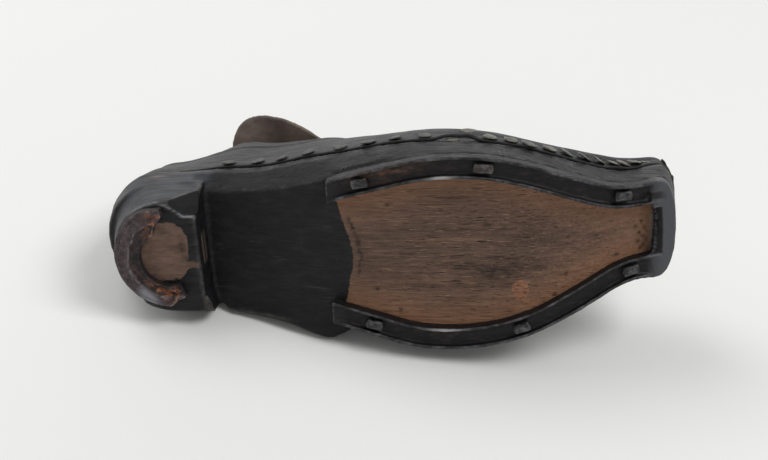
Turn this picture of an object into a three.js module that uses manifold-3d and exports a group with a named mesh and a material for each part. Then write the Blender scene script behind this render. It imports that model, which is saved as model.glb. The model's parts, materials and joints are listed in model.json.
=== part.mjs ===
// A clog for the left foot: one-piece wooden sole with a carved heel, forepart and
// heel irons, and a low leather upper with a tongue. Millimetres, Z up.
// The shoe is shaped in its own frame and then laid on its outer side at the end:
// x runs from the back of the heel to the toe, y towards the outer (lateral) side,
// z up from the plane that both irons tread on.
import * as THREE from 'three';
import { ConvexHull } from 'three/addons/math/ConvexHull.js';
import { mergeVertices } from 'three/addons/utils/BufferGeometryUtils.js';
import Module from 'manifold-3d';

const wasm = await Module();
wasm.setup();

// Driving sizes
const LENGTH = 258;             // back of the heel seat to the tip of the toe
const BALL_WIDTH = 93;          // wood at its widest, at the leather line
const HEEL_WIDTH = 56;          // wood at the heel seat
const HEEL_RISE = 35;           // leather line above the tread plane at the heel
const EDGE_T = 13.3;            // wooden edge of the forepart, without the iron
const TOE_SPRING = 23.4;        // rise of the tip above the tread plane
const INSTEP_RISE = 76;         // top of the throat above the leather line
const COLLAR_Z = 78;            // lowest point of the topline above the tread plane
const BACK_Z = 95;              // topline at the back seam
const THROAT_X = 118;           // front of the opening
const THROAT_RISE = 30;         // front corner of the opening above the topline's low
const COUNTER_LEAN = 8;         // the back of the upper leans forward this far
const TONGUE_RISE = 34.2;       // tip of the tongue above the topline's low
const TONGUE_HALF = 22.6;       // half its width
const TONGUE_SHIFT = 4.8;       // it stands this far towards the medial side
const BREAST_X = 49.5;          // breast of the heel
const TREAD_BACK = 10.7;        // the heel's back slopes forward this far to its tread
const HEEL_TREAD_WIDTH = 49.8;
const HEEL_BEVEL = 0.9;         // round the tread of the wooden heel
const BREAST_CORNER = 11;       // length of the cut at the heel's medial front corner
const BREAST_CUT = 6.4;         // its depth at the tread
const TOE_CORNER = 12;          // length over which the square toe rounds off

// Thicknesses and small sizes
const WALL = 2.2;               // leather of the upper
const TONGUE_T = 2.0;
const INSOLE_T = 1.8;
const GRIP_H = 8;               // height of the rebate that the leather is nailed to
const BED_DISH = 1.4;           // hollow of the foot bed
const SIDE_FLARE = 0.3;         // the wooden edge widens this far up to the leather
const WELT_T = 1.6;
const WELT_H = 6.2;
const IRON_T = 6;               // forepart iron with its gap to the wood
const IRON_W = 10;
const TOE_BAR_W = 9.2;
const IRON_GROOVE = 2.2;
const HEEL_IRON_T = 4.6;
const HEEL_IRON_GROOVE = 1.4;
const HEEL_IRON_INSET = 0.9;    // inside the edge of the wood
const HEEL_IRON_START = -86;    // degrees round the heel, the medial arm's end
const HEEL_IRON_END = 109;
const PLUG_R = 12.6;            // bare wood inside the heel iron
const PLUG_SHIFT = 1.5;         // its centre lies this far to the lateral side
const TACK_R = 3.3;
const TACK_H = 0.9;
const TACK_ROOT = 0.8;          // sunk into the welt
const TACK_PITCH = 8.4;         // along the forepart
const TACK_PITCH_WAIST = 11;
const NAIL_L = 8.8;
const NAIL_W = 4.9;
const NAIL_H = 1.4;

// Clearances
const GAP = 0.3;                // between neighbouring pieces, side by side
const LIFT = 0.5;               // between pieces that lie on each other
const TONGUE_GAP = 0.8;         // tongue under the vamp
const INSOLE_GAP = 1.2;         // round the insole

// Offsets of the layers inwards from the wooden edge
const WELT_OUT = -0.4;
const UPPER_OUT = WELT_OUT + WELT_T + GAP;
const UPPER_IN = UPPER_OUT + WALL;
const GRIP_IN = UPPER_IN + GAP;
const INSOLE_IN = UPPER_IN + INSOLE_GAP;

// Smooth curve through rows [position, value, value, ...] without overshoot
function table(rows) {
  const n = rows.length;
  const slopes = rows[0].map((_, c) => {
    if (c === 0) return null;
    const d = [];
    for (let i = 0; i < n - 1; i += 1) {
      d.push((rows[i + 1][c] - rows[i][c]) / (rows[i + 1][0] - rows[i][0]));
    }
    const m = [d[0]];
    for (let i = 1; i < n - 1; i += 1) {
      m.push(d[i - 1] * d[i] <= 0 ? 0 : (2 * d[i - 1] * d[i]) / (d[i - 1] + d[i]));
    }
    m.push(d[n - 2]);
    return m;
  });
  return (x, c = 1) => {
    if (x <= rows[0][0]) return rows[0][c];
    if (x >= rows[n - 1][0]) return rows[n - 1][c];
    let i = 0;
    while (x > rows[i + 1][0]) i += 1;
    const h = rows[i + 1][0] - rows[i][0];
    const t = (x - rows[i][0]) / h;
    const a = rows[i][c];
    const b = rows[i + 1][c];
    const ma = slopes[c][i] * h;
    const mb = slopes[c][i + 1] * h;
    return a * (1 + 2 * t) * (1 - t) ** 2 + ma * t * (1 - t) ** 2
      + b * t * t * (3 - 2 * t) - mb * t * t * (1 - t);
  };
}

// Outline of the wood at the leather line, medial and lateral of the centre line.
// Position as a share of LENGTH; each half width is the first number times
// HEEL_WIDTH plus the second times BALL_WIDTH.
const medialRows = table([
  [0, 0.482, 0], [0.09, 0.482, 0], [0.18, 0.512, 0], [0.27, 0.543, 0],
  [0.31, 0.46, 0.07], [0.345, 0.2, 0.256], [0.38, 0, 0.404], [0.415, 0, 0.4225],
  [0.45, 0, 0.444], [0.485, 0, 0.4665], [0.52, 0, 0.487], [0.555, 0, 0.5],
  [0.6, 0, 0.5045], [0.64, 0, 0.503], [0.675, 0, 0.497], [0.71, 0, 0.484],
  [0.74, 0, 0.4625], [0.775, 0, 0.4345], [0.805, 0, 0.403], [0.84, 0, 0.3655],
  [0.875, 0, 0.329], [0.905, 0, 0.3045], [0.935, 0, 0.302], [0.96, 0, 0.311],
  [1, 0, 0.32],
]);
const lateralRows = table([
  [0, 0.493, 0], [0.09, 0.493, 0], [0.18, 0.512, 0], [0.27, 0.527, 0],
  [0.31, 0.55, 0], [0.345, 0.3, 0.172], [0.38, 0, 0.371], [0.415, 0, 0.387],
  [0.45, 0, 0.4065], [0.485, 0, 0.43], [0.52, 0, 0.458], [0.555, 0, 0.4805],
  [0.6, 0, 0.4925], [0.64, 0, 0.4915], [0.675, 0, 0.4785], [0.71, 0, 0.46],
  [0.74, 0, 0.4375], [0.775, 0, 0.403], [0.805, 0, 0.361], [0.84, 0, 0.312],
  [0.875, 0, 0.257], [0.9, 0, 0.217], [0.92, 0, 0.197], [0.945, 0, 0.188],
  [1, 0, 0.185],
]);
// Share of the heel rise left in the leather line, in front of the seat
const seatShare = table([
  [0, 1], [0.155, 1], [0.194, 0.97], [0.271, 0.82], [0.333, 0.6], [0.376, 0.44],
  [0.446, 0.24], [0.527, 0.06], [0.581, 0],
]);
// Underside of the waist, as a share of HEEL_RISE above the forepart's underside
const archShare = table([
  [0.15, 0.46], [0.186, 0.451], [0.233, 0.4], [0.29, 0.303], [0.349, 0.186],
  [0.388, 0.12], [0.465, 0.034], [0.55, 0],
]);
const springShare = table([
  [0.667, 0], [0.702, 0.01], [0.736, 0.041], [0.775, 0.098], [0.81, 0.175],
  [0.853, 0.297], [0.891, 0.44], [0.934, 0.628], [0.969, 0.816], [1, 1],
]);
// How far the underside's edge lies inside the leather line, as shares of EDGE_T
const undercut = table([
  [0.14, 0.09, 0.09], [0.178, 0.09, 0.09], [0.2, 0.54, 0.35], [0.27, 0.42, 0.38],
  [0.315, 0.45, 0.43], [0.345, 0.5, 0.38], [0.38, 0.5, 0.3], [0.405, 0.45, 0.24],
  [0.43, 0.34, 0.2], [0.46, 0.29, 0.17], [0.51, 0.27, 0.14], [0.55, 0.19, 0.12],
  [0.6, 0.09, 0.11], [0.66, 0.05, 0.1], [1, 0.06, 0.09],
]);
// Form of the last: ridge height as a share of INSTEP_RISE, then how full the
// sides are at three and at six tenths of that height, then the ridge's shift
const lastForm = table([
  [0, 1.25, 0.76, 0.55, 0], [0.1, 1.25, 0.73, 0.53, 0], [0.17, 1.22, 0.86, 0.66, 0],
  [0.2, 1.21, 0.94, 0.86, 0], [0.23, 1.2, 1, 1.02, 0], [0.27, 1.19, 0.98, 0.97, -0.01],
  [0.31, 1.17, 0.95, 0.89, -0.02], [0.37, 1.1, 0.93, 0.84, -0.05],
  [0.411, 1.06, 0.92, 0.8, -0.07], [0.446, 1, 0.93, 0.79, -0.08],
  [0.481, 0.92, 0.95, 0.82, -0.09], [0.527, 0.83, 0.975, 0.87, -0.09],
  [0.581, 0.745, 1.01, 0.93, -0.08], [0.632, 0.675, 1.03, 0.97, -0.07],
  [0.702, 0.585, 1.035, 0.99, -0.04], [0.775, 0.505, 1.04, 1, 0],
  [0.84, 0.445, 1.06, 1.02, 0], [0.875, 0.415, 1.1, 1.04, 0],
  [0.905, 0.385, 1.11, 1.06, 0], [0.935, 0.345, 1.08, 1.03, 0],
  [0.97, 0.275, 1.02, 1, 0], [1, 0.2, 1, 1, 0],
]);

const IRON_START = 0.415;       // back ends of the forepart iron, as a share of LENGTH
const FORE_Z = IRON_T + EDGE_T;
const springZ = (x) => TOE_SPRING * springShare(x / LENGTH);
const ledgeZ = (x) => FORE_Z + (HEEL_RISE - FORE_Z) * seatShare(x / LENGTH) + springZ(x);
const underZ = (x) => IRON_T + HEEL_RISE * archShare(x / LENGTH) + springZ(x);
const halfWidth = (x, side) => {
  const rows = side < 0 ? medialRows : lateralRows;
  return rows(x / LENGTH, 1) * HEEL_WIDTH + rows(x / LENGTH, 2) * BALL_WIDTH;
};

// Stations along the shoe: crowded where the heel and the toe round off, and
// carried inwards with each layer so that the layers stay evenly apart
const HEEL_R = HEEL_WIDTH / 2;
const stations = [];
for (const deg of [13, 27, 41, 55, 68, 80]) stations.push({ heel: deg });
const MIDDLE = [0.112, 0.14, 0.17, 0.196, 0.22, 0.245, 0.27, 0.3, 0.33, 0.36, 0.388,
  0.415, 0.44, 0.465, 0.495, 0.525, 0.555, 0.59, 0.63, 0.667, 0.7, 0.735, 0.77, 0.805,
  0.84, 0.87, 0.9, 0.93, 0.95];
for (const share of MIDDLE) stations.push({ share });
for (const deg of [16, 34, 52, 69, 80]) stations.push({ toe: deg });
const rad = Math.PI / 180;
function stationX(station, inset) {
  if (station.heel !== undefined) {
    return HEEL_R - (HEEL_R - inset) * Math.cos(station.heel * rad);
  }
  if (station.toe !== undefined) {
    const start = LENGTH - TOE_CORNER;
    return start + (TOE_CORNER - inset) * Math.sin(station.toe * rad);
  }
  return station.share * LENGTH;
}
function endShare(station) {
  if (station.heel !== undefined) return Math.sin(station.heel * rad);
  if (station.toe !== undefined) return (1 - Math.sin(station.toe * rad) ** 3) ** (1 / 3);
  return 1;
}
// Medial and lateral half widths at a station, a layer's inset measured square
// to the outline
function halves(station, inset) {
  const x = stationX(station, inset);
  const one = (side) => {
    const slope = (halfWidth(x + 0.5, side) - halfWidth(x - 0.5, side));
    return halfWidth(x, side) - inset * Math.hypot(1, slope);
  };
  const medial = one(-1);
  const lateral = one(1);
  const middle = (lateral - medial) / 2;
  const half = (lateral + medial) / 2 * endShare(station);
  return { x, middle, half };
}

// Closed body from rings of points. An end ring runs up one side and down the other,
// and is closed by steps across from side to side; a level ring is closed flat.
function loft(rings, { closed = false, level = false } = {}) {
  const n = rings[0].length;
  const points = rings.flat();
  const faces = [];
  const last = closed ? rings.length : rings.length - 1;
  for (let r = 0; r < last; r += 1) {
    const a = r * n;
    const b = ((r + 1) % rings.length) * n;
    for (let k = 0; k < n; k += 1) {
      const q = (k + 1) % n;
      faces.push([a + k, a + q, b + q], [a + k, b + q, b + k]);
    }
  }
  const cap = (start, turned) => {
    const found = [];
    if (level) {
      const flat = rings[start / n].map((p) => new THREE.Vector2(p[0], p[1] + p[2]));
      const clockwise = THREE.ShapeUtils.isClockWise(flat);
      const order = flat.map((_, k) => (clockwise ? n - 1 - k : k));
      for (const t of THREE.ShapeUtils.triangulateShape(order.map((k) => flat[k]), [])) {
        const f = t.map((k) => order[k]);
        found.push(clockwise ? [f[0], f[2], f[1]] : f);
      }
    } else {
      for (let k = 0; k < n / 2 - 1; k += 1) {
        const far = n - 1 - k;
        found.push([k, k + 1, far]);
        if (k + 1 < far - 1) found.push([k + 1, far - 1, far]);
      }
    }
    for (const f of found) {
      faces.push((turned ? [f[0], f[2], f[1]] : f).map((k) => start + k));
    }
  };
  if (!closed) {
    cap(0, true);
    cap((rings.length - 1) * n, false);
  }
  return solid(points, faces);
}
// The manifold body of a list of points and triangles, turned outwards if needed
function solid(points, faces) {
  let volume = 0;
  for (const [i, j, k] of faces) {
    const a = new THREE.Vector3(...points[i]);
    const b = new THREE.Vector3(...points[j]);
    const c = new THREE.Vector3(...points[k]);
    volume += a.dot(b.cross(c));
  }
  const list = volume < 0 ? faces.map(([i, j, k]) => [i, k, j]) : faces;
  return new wasm.Manifold(new wasm.Mesh({
    numProp: 3,
    vertProperties: new Float32Array(points.flat()),
    triVerts: new Uint32Array(list.flat()),
  }));
}
function centreOf(geometry) {
  const at = geometry.getAttribute('position');
  const index = geometry.getIndex().array;
  const sum = new THREE.Vector3();
  let volume = 0;
  for (let i = 0; i < index.length; i += 3) {
    const [a, b, c] = [0, 1, 2].map((k) => new THREE.Vector3().fromBufferAttribute(at, index[i + k]));
    const part = a.dot(b.clone().cross(c)) / 6;
    sum.addScaledVector(a.clone().add(b).add(c), part / 4);
    volume += part;
  }
  return sum.divideScalar(volume);
}
function meshOf(name, body, material) {
  const data = body.getMesh();
  const geometry = new THREE.BufferGeometry();
  geometry.setAttribute('position', new THREE.BufferAttribute(data.vertProperties, 3));
  geometry.setIndex(new THREE.BufferAttribute(data.triVerts, 1));
  const clean = mergeVertices(geometry, 1e-4);
  clean.computeVertexNormals();
  const mesh = new THREE.Mesh(clean, material);
  mesh.name = name;
  mesh.userData.volume = body.volume();
  mesh.userData.centre = centreOf(clean);
  return mesh;
}

// Materials
const stained = new THREE.MeshStandardMaterial({ color: 0x2b2420, roughness: 0.7 });
const leather = new THREE.MeshStandardMaterial({ color: 0x242427, roughness: 0.5 });
const flesh = new THREE.MeshStandardMaterial({ color: 0x5b4230, roughness: 0.8 });
const tackLeather = new THREE.MeshStandardMaterial({ color: 0x3c3f38, roughness: 0.6 });
const iron = new THREE.MeshStandardMaterial({ color: 0x2e2c30, roughness: 0.5, metalness: 0.8 });
const rust = new THREE.MeshStandardMaterial({ color: 0x5a3a28, roughness: 0.8, metalness: 0.5 });
const insoleSkin = new THREE.MeshStandardMaterial({ color: 0x6a4c34, roughness: 0.85 });

// Wooden sole: underside, undercut side, upright edge, ledge, rebate and foot bed.
// Rows across the foot bed: share of the half width, share of the dish.
const ACROSS = [[-1, 0], [-0.55, 0.64], [0, 1], [0.55, 0.64], [1, 0]];
const soleRings = stations.map((station) => {
  const edge = halves(station, 0);
  const grip = halves(station, GRIP_IN);
  const under = (side) => {
    const inset = undercut(edge.x / LENGTH, side < 0 ? 1 : 2) * EDGE_T;
    const low = halves(station, inset);
    const y = low.middle + side * low.half;
    return { x: low.x, y, z: underZ(low.x) };
  };
  const m = under(-1);
  const l = under(1);
  const z = ledgeZ(edge.x);
  const upright = Math.min(0.42 * EDGE_T, 0.5 * (z - underZ(edge.x)));
  const bed = ledgeZ(grip.x) + GRIP_H;
  const at = (spot, side) => spot.middle + side * spot.half;
  return [
    [l.x, l.y, l.z], [edge.x, at(edge, 1) - SIDE_FLARE, z - upright], [edge.x, at(edge, 1), z],
    [grip.x, at(grip, 1), ledgeZ(grip.x)],
    ...ACROSS.map(([u, dish]) => [grip.x, at(grip, -u), bed - dish * BED_DISH]),
    [grip.x, at(grip, -1), ledgeZ(grip.x)],
    [edge.x, at(edge, -1), z], [edge.x, at(edge, -1) + SIDE_FLARE, z - upright],
    [m.x, m.y, m.z],
  ];
});
// The carved heel: level outlines from the tread up into the sole. The breast slants
// and its medial front corner is cut away towards the tread.
const TREAD_MIDDLE = HEEL_TREAD_WIDTH / 2 + TREAD_BACK;
const SPREAD = 0.6;             // the lateral side widens this far up to the breast
function heelLoop(level) {
  const { z, half, back, cut, breast } = level;
  const loop = [];
  const centre = back + half;
  for (let k = 0; k <= 8; k += 1) {
    const a = (k / 8) * 90 * rad;
    loop.push([centre - half * Math.cos(a), -half * Math.sin(a), z]);
  }
  const front = breast[0];
  const start = Math.max(centre + 1, front - BREAST_CORNER);
  loop.push([start, -half, z]);
  loop.push([(start + front) / 2, -half + cut * 0.4, z]);
  loop.push([front, -half + cut, z]);
  loop.push([breast[1], -0.1 * half, z]);
  loop.push([breast[2], 0.55 * half, z]);
  loop.push([breast[3], 0.84 * half, z]);
  loop.push([breast[4], half + SPREAD, z]);
  for (let k = 8; k >= 1; k -= 1) {
    const a = (k / 8) * 90 * rad;
    const x = centre - half * Math.cos(a);
    loop.push([x, half * Math.sin(a) + SPREAD * (x / breast[4]), z]);
  }
  return loop;
}
const breastAt = (lean) => [-1, -0.5, 0, 1.5, 3].map((v) => BREAST_X + v + lean);
const seatHalf = HEEL_R - 0.2;
const treadHalf = HEEL_TREAD_WIDTH / 2;
// Share of the height, of the way from tread to seat width, of the slope left at the
// back and of the breast's corner cut, then how far the breast leans forward
const HEEL_LEVELS = [
  [0.36, 0.23, 0.78, 0.06, 0.2], [0.66, 0.6, 0.43, 0.02, 0.6], [0.98, 1, 0.014, 0, 1.5],
];
const heelBody = loft([
  { z: HEEL_IRON_T, half: treadHalf - HEEL_BEVEL, back: TREAD_BACK + HEEL_BEVEL,
    cut: BREAST_CUT, breast: breastAt(-HEEL_BEVEL) },
  { z: HEEL_IRON_T + HEEL_BEVEL, half: treadHalf, back: TREAD_BACK, cut: 0.94 * BREAST_CUT,
    breast: breastAt(0) },
  ...HEEL_LEVELS.map(([up, wide, slope, cut, lean]) => ({
    z: up * HEEL_RISE,
    half: treadHalf + wide * (seatHalf - treadHalf),
    back: slope * TREAD_BACK,
    cut: cut * BREAST_CUT,
    breast: breastAt(lean),
  })),
].map(heelLoop), { level: true });
const sole = loft(soleRings).add(heelBody);

// Section of the last at a station, from the lateral base over the ridge to the
// medial base, moved inwards by an inset square to the section
const UPRIGHT = GRIP_H + INSOLE_T + LIFT;
const LEVELS = [0, 0.12, 0.24, 0.36, 0.48, 0.6, 0.71, 0.81, 0.9, 0.965];
function lastSection(station, inset, drop = 0) {
  const base = halves(station, UPPER_OUT);
  const share = base.x / LENGTH;
  const foot = base.half / endShare(station);
  const high = lastForm(share, 1) * INSTEP_RISE;
  const fill = (s) => {
    const low = lastForm(share, 2) - 1;
    const up = lastForm(share, 3) - 1;
    const a = (s * (0.6 - s)) / (0.3 * 0.3);
    const b = (s * (s - 0.3)) / (0.6 * 0.3);
    return 1 + (s <= 0.75 ? low * a + up * b : low * -1.25 + up * 1.875);
  };
  const ridge = lastForm(share, 4) * foot;
  const side = (s, sign) => [
    ridge * s + sign * foot * Math.sqrt(1 - s ** 2.5) * fill(s),
    UPRIGHT + s * (high - UPRIGHT),
  ];
  const flat = [[foot, 0]];
  for (const s of LEVELS) flat.push(side(s, 1));
  flat.push([ridge, high]);
  for (const s of [...LEVELS].reverse()) flat.push(side(s, -1));
  flat.push([-foot, 0]);
  const moved = flat.map((p, k) => {
    const before = flat[Math.max(k - 1, 0)];
    const after = flat[Math.min(k + 1, flat.length - 1)];
    const ty = after[0] - before[0];
    const tz = after[1] - before[1];
    const size = Math.hypot(ty, tz);
    return [p[0] - inset * (tz / size), p[1] + inset * (ty / size)];
  });
  moved[0] = [flat[0][0] - inset, 0];
  moved[moved.length - 1] = [flat[flat.length - 1][0] + inset, 0];
  const x = stationX(station, UPPER_OUT + inset);
  const floor = ledgeZ(base.x) + LIFT;
  const counter = Math.max(0, 1 - base.x / BREAST_X) * COUNTER_LEAN;
  const backHeight = BACK_Z - HEEL_RISE - UPRIGHT;
  const lean = (z) => counter * Math.max(0, (z - UPRIGHT) / backHeight) ** 1.5;
  const ring = moved.map(([y, z]) => [x + lean(z), base.middle + y * endShare(station), floor + z]);
  if (drop) {
    const first = ring[0];
    const end = ring[ring.length - 1];
    ring.unshift([first[0], first[1], first[2] - drop]);
    ring.push([end[0], end[1], end[2] - drop]);
  }
  return ring;
}
const outer = loft(stations.map((s) => lastSection(s, 0)));
const inner = loft(stations.map((s) => lastSection(s, WALL, 4)));
// Topline: everything above this side view is cut away. Share of THROAT_X, then the
// shares of the rises to the back and to the throat.
const toplineRows = table([
  [-0.17, 1.06, 0], [0.017, 1, 0], [0.1, 0.82, 0], [0.254, 0.4, 0], [0.424, 0.06, 0],
  [0.593, 0, 0], [0.763, 0, 0.033], [0.847, 0, 0.133], [0.915, 0, 0.317], [0.966, 0, 0.567],
  [1, 0, 1],
]);
const topline = [];
const OPEN_TOP = INSTEP_RISE + HEEL_RISE + THROAT_RISE;
for (let t = -0.17; t < 0.999; t += t < 0.78 ? 0.06 : 0.0275) {
  const rise = toplineRows(t, 1) * (BACK_Z - COLLAR_Z) + toplineRows(t, 2) * THROAT_RISE;
  topline.push([t * THROAT_X, COLLAR_Z + rise]);
}
topline.push([THROAT_X, COLLAR_Z + THROAT_RISE], [THROAT_X, OPEN_TOP]);
topline.push([-0.17 * THROAT_X, OPEN_TOP]);
const opening = loft([-1, 1].map((side) => topline.map(([x, z]) => [x, side * BALL_WIDTH, z])),
  { level: true });
const upper = outer.subtract(inner).subtract(opening);

// Tongue: under the vamp it follows the inside of the last; behind the throat it
// stands free and leans back, its edges spread
const TONGUE_FREE = [
  // shares of THROAT_X, of TONGUE_RISE in the middle and at the edge, of TONGUE_HALF
  // and of TONGUE_SHIFT
  [0.425, 0.848, 0.836, 0.354, 0.938], [0.44, 0.877, 0.857, 0.642, 0.958],
  [0.475, 0.924, 0.895, 0.885, 1], [0.53, 0.971, 0.924, 0.987, 1],
  [0.6, 1, 0.895, 1, 0.958], [0.67, 0.994, 0.775, 0.982, 0.875],
  [0.735, 0.95, 0.6, 0.942, 0.75], [0.795, 0.871, 0.424, 0.867, 0.625],
  [0.85, 0.775, 0.322, 0.752, 0.542],
];
const ARCH = [-1, -0.8, -0.58, -0.3, 0, 0.3, 0.58, 0.8, 1];
function tongueRow(spots) {
  // outer points across, then the inner ones back, square to the row
  const lower = spots.map((p, k) => {
    const a = spots[Math.max(k - 1, 0)];
    const b = spots[Math.min(k + 1, spots.length - 1)];
    const size = Math.hypot(b[1] - a[1], b[2] - a[2]);
    const dy = ((b[2] - a[2]) / size) * TONGUE_T;
    const dz = ((b[1] - a[1]) / size) * TONGUE_T;
    return [p[0], p[1] + dy, p[2] - dz];
  });
  return [...spots, ...lower.reverse()];
}
const tongueRings = TONGUE_FREE.map(([share, mid, edge, wide, shift]) => tongueRow(ARCH.map((u) => [
  share * THROAT_X,
  u * wide * TONGUE_HALF - shift * TONGUE_SHIFT,
  COLLAR_Z + TONGUE_RISE * (mid - (mid - edge) * Math.abs(u) ** 2.2),
])));
const UNDER_VAMP = [[0.907, 0.686], [0.955, 0.796], [1.015, 0.973], [1.07, 1], [1.13, 0.93]];
for (const [share, wide] of UNDER_VAMP) {
  const x = share * THROAT_X;
  const ring = lastSection({ share: x / LENGTH }, WALL + TONGUE_GAP);
  const heightAt = (y) => {
    const found = [];
    for (let k = 1; k < ring.length; k += 1) {
      const a = ring[k - 1];
      const b = ring[k];
      if ((a[1] - y) * (b[1] - y) <= 0 && a[1] !== b[1]) {
        found.push(a[2] + ((y - a[1]) / (b[1] - a[1])) * (b[2] - a[2]));
      }
    }
    return Math.max(...found);
  };
  tongueRings.push(tongueRow(ARCH.map((u) => {
    const y = u * wide * TONGUE_HALF - 0.52 * TONGUE_SHIFT;
    return [x, y, heightAt(y)];
  })));
}
const tongue = loft(tongueRings);

// Insole, lying in the foot bed
const insole = loft(stations.map((station) => {
  const spot = halves(station, INSOLE_IN);
  const z = ledgeZ(spot.x) + GRIP_H + LIFT;
  const row = (up) => ACROSS.map(([u, dish]) => (
    [spot.x, spot.middle + u * spot.half, z + up - dish * BED_DISH]));
  return [...row(0), ...row(INSOLE_T).reverse()];
}));

// Welt: a leather strip round the foot of the upper, with the tack heads on it
function outline(inset) {
  const side = (sign) => stations.map((station) => {
    const spot = halves(station, inset);
    return [spot.x, spot.middle + sign * spot.half];
  });
  return [...side(-1), ...side(1).reverse()];
}
const weltOut = outline(WELT_OUT);
const weltIn = outline(WELT_OUT + WELT_T);
let welt = loft(weltOut.map((p, k) => {
  const q = weltIn[k];
  const low = ledgeZ(p[0]) + LIFT;
  const high = low + WELT_H;
  return [[p[0], p[1], low], [q[0], q[1], low], [q[0], q[1], high], [p[0], p[1], high]];
}), { closed: true });
const path = weltOut.map((p) => new THREE.Vector2(...p));
const runs = path.map((p, k) => p.distanceTo(path[(k + 1) % path.length]));
const round = runs.reduce((a, b) => a + b, 0);
const tacks = [];
for (let s = TACK_PITCH / 2; s < round - TACK_PITCH / 2;) {
  let k = 0;
  let rest = s;
  while (rest > runs[k]) {
    rest -= runs[k];
    k += 1;
  }
  const a = path[k];
  const b = path[(k + 1) % path.length];
  const spot = a.clone().lerp(b, rest / runs[k]);
  const along = b.clone().sub(a).normalize();
  const tack = new THREE.CylinderGeometry(TACK_R * 0.55, TACK_R, TACK_H + TACK_ROOT, 8);
  tack.translate(0, (TACK_H - TACK_ROOT) / 2, 0);
  const out = new THREE.Vector3(along.y, -along.x, 0);
  const turn = new THREE.Quaternion().setFromUnitVectors(new THREE.Vector3(0, 1, 0), out);
  const low = ledgeZ(spot.x) + LIFT;
  tack.applyMatrix4(new THREE.Matrix4().compose(
    new THREE.Vector3(spot.x, spot.y, low + WELT_H / 2),
    turn,
    new THREE.Vector3(1, 1, 0.9),
  ));
  tack.deleteAttribute('normal');
  tack.deleteAttribute('uv');
  const shell = mergeVertices(tack, 1e-3);
  const at = shell.getAttribute('position');
  const points = [];
  for (let i = 0; i < at.count; i += 1) points.push([at.getX(i), at.getY(i), at.getZ(i)]);
  const index = Array.from(shell.getIndex().array);
  const faces = [];
  for (let i = 0; i < index.length; i += 3) faces.push(index.slice(i, i + 3));
  tacks.push(solid(points, faces));
  s += spot.x > IRON_START * LENGTH ? TACK_PITCH : TACK_PITCH_WAIST;
}
welt = wasm.Manifold.union([welt, ...tacks]);

// Grooved band of iron between an outer and an inner line, ends capped
function grooved(outerLine, innerLine, depthAt, groundAt, topAt) {
  const rings = outerLine.map((p, k) => {
    const q = innerLine[k];
    const depth = depthAt(k / (outerLine.length - 1), p[0] / LENGTH);
    const at = (u, up) => {
      const x = p[0] + (q[0] - p[0]) * u;
      return [x, p[1] + (q[1] - p[1]) * u, groundAt(x) + up];
    };
    return [
      [p[0], p[1], topAt(p[0])], at(0, 0), at(0.13, 0), at(0.18, depth), at(0.82, depth),
      at(0.87, 0), at(1, 0), [q[0], q[1], topAt(q[0])],
    ];
  });
  return loft(rings);
}
// Forepart iron: up the medial side, across the toe as a plain bar, down the lateral
const ironStations = stations.filter((s) => s.toe !== undefined || s.share >= IRON_START);
const ironLine = (extra) => {
  const side = (sign) => ironStations.map((station) => {
    const share = stationX(station, 0) / LENGTH;
    const inset = undercut(share, sign < 0 ? 1 : 2) * EDGE_T + extra;
    const wide = station.toe === undefined ? inset : inset + extra / IRON_W * (TOE_BAR_W - IRON_W);
    const spot = halves(station, inset);
    return [stationX(station, wide), spot.middle + sign * spot.half];
  });
  return [...side(-1), ...side(1).reverse()];
};
const grooveShare = table([
  [IRON_START, 0], [IRON_START + 0.015, 1], [0.951, 1], [0.965, 0],
]);
const treadZ = (x) => underZ(x) - IRON_T;
const ironOuter = ironLine(0);
const ironInner = ironLine(IRON_W);
const foreIron = grooved(ironOuter, ironInner, (t, share) => IRON_GROOVE * grooveShare(share),
  treadZ, (x) => underZ(x) - LIFT);

// Heel iron: a horseshoe, its medial arm shorter
const heelIronOuter = [];
const heelIronInner = [];
for (let k = 0; k <= 20; k += 1) {
  const a = (HEEL_IRON_START + (k / 20) * (HEEL_IRON_END - HEEL_IRON_START)) * rad;
  const r = treadHalf - HEEL_IRON_INSET;
  const far = Math.abs(a) > Math.PI / 2 ? 1 / Math.sin(Math.abs(a)) : 1;
  heelIronOuter.push([TREAD_MIDDLE - r * far * Math.cos(a), r * far * Math.sin(a)]);
  heelIronInner.push([TREAD_MIDDLE - PLUG_R * Math.cos(a), PLUG_SHIFT + PLUG_R * Math.sin(a)]);
}
const heelGroove = table([[0, 0], [0.06, 0], [0.14, 1], [0.86, 1], [0.94, 0], [1, 0]]);
const heelIron = grooved(heelIronOuter, heelIronInner, (t) => HEEL_IRON_GROOVE * heelGroove(t),
  () => 0, () => HEEL_IRON_T - LIFT);

// Nail heads in the groove of the forepart iron: side, place as a share of LENGTH
const NAILS = [
  ['nail_medial_back', -1, 0.473], ['nail_medial_middle', -1, 0.674],
  ['nail_medial_toe', -1, 0.909], ['nail_lateral_toe', 1, 0.924],
  ['nail_lateral_middle', 1, 0.74], ['nail_lateral_back', 1, 0.488],
];
function bandPoint(side, share) {
  const middles = ironOuter.map((p, k) => p.map((v, c) => (v + ironInner[k][c]) / 2));
  const half = middles.length / 2;
  const line = side < 0 ? middles.slice(0, half) : middles.slice(half).reverse();
  let k = 0;
  while (line[k + 1][0] < share * LENGTH) k += 1;
  const [a, b] = [line[k], line[k + 1]];
  const t = (share * LENGTH - a[0]) / (b[0] - a[0]);
  return { at: a.map((v, c) => v + (b[c] - v) * t), yaw: Math.atan2(b[1] - a[1], b[0] - a[0]) };
}

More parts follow.
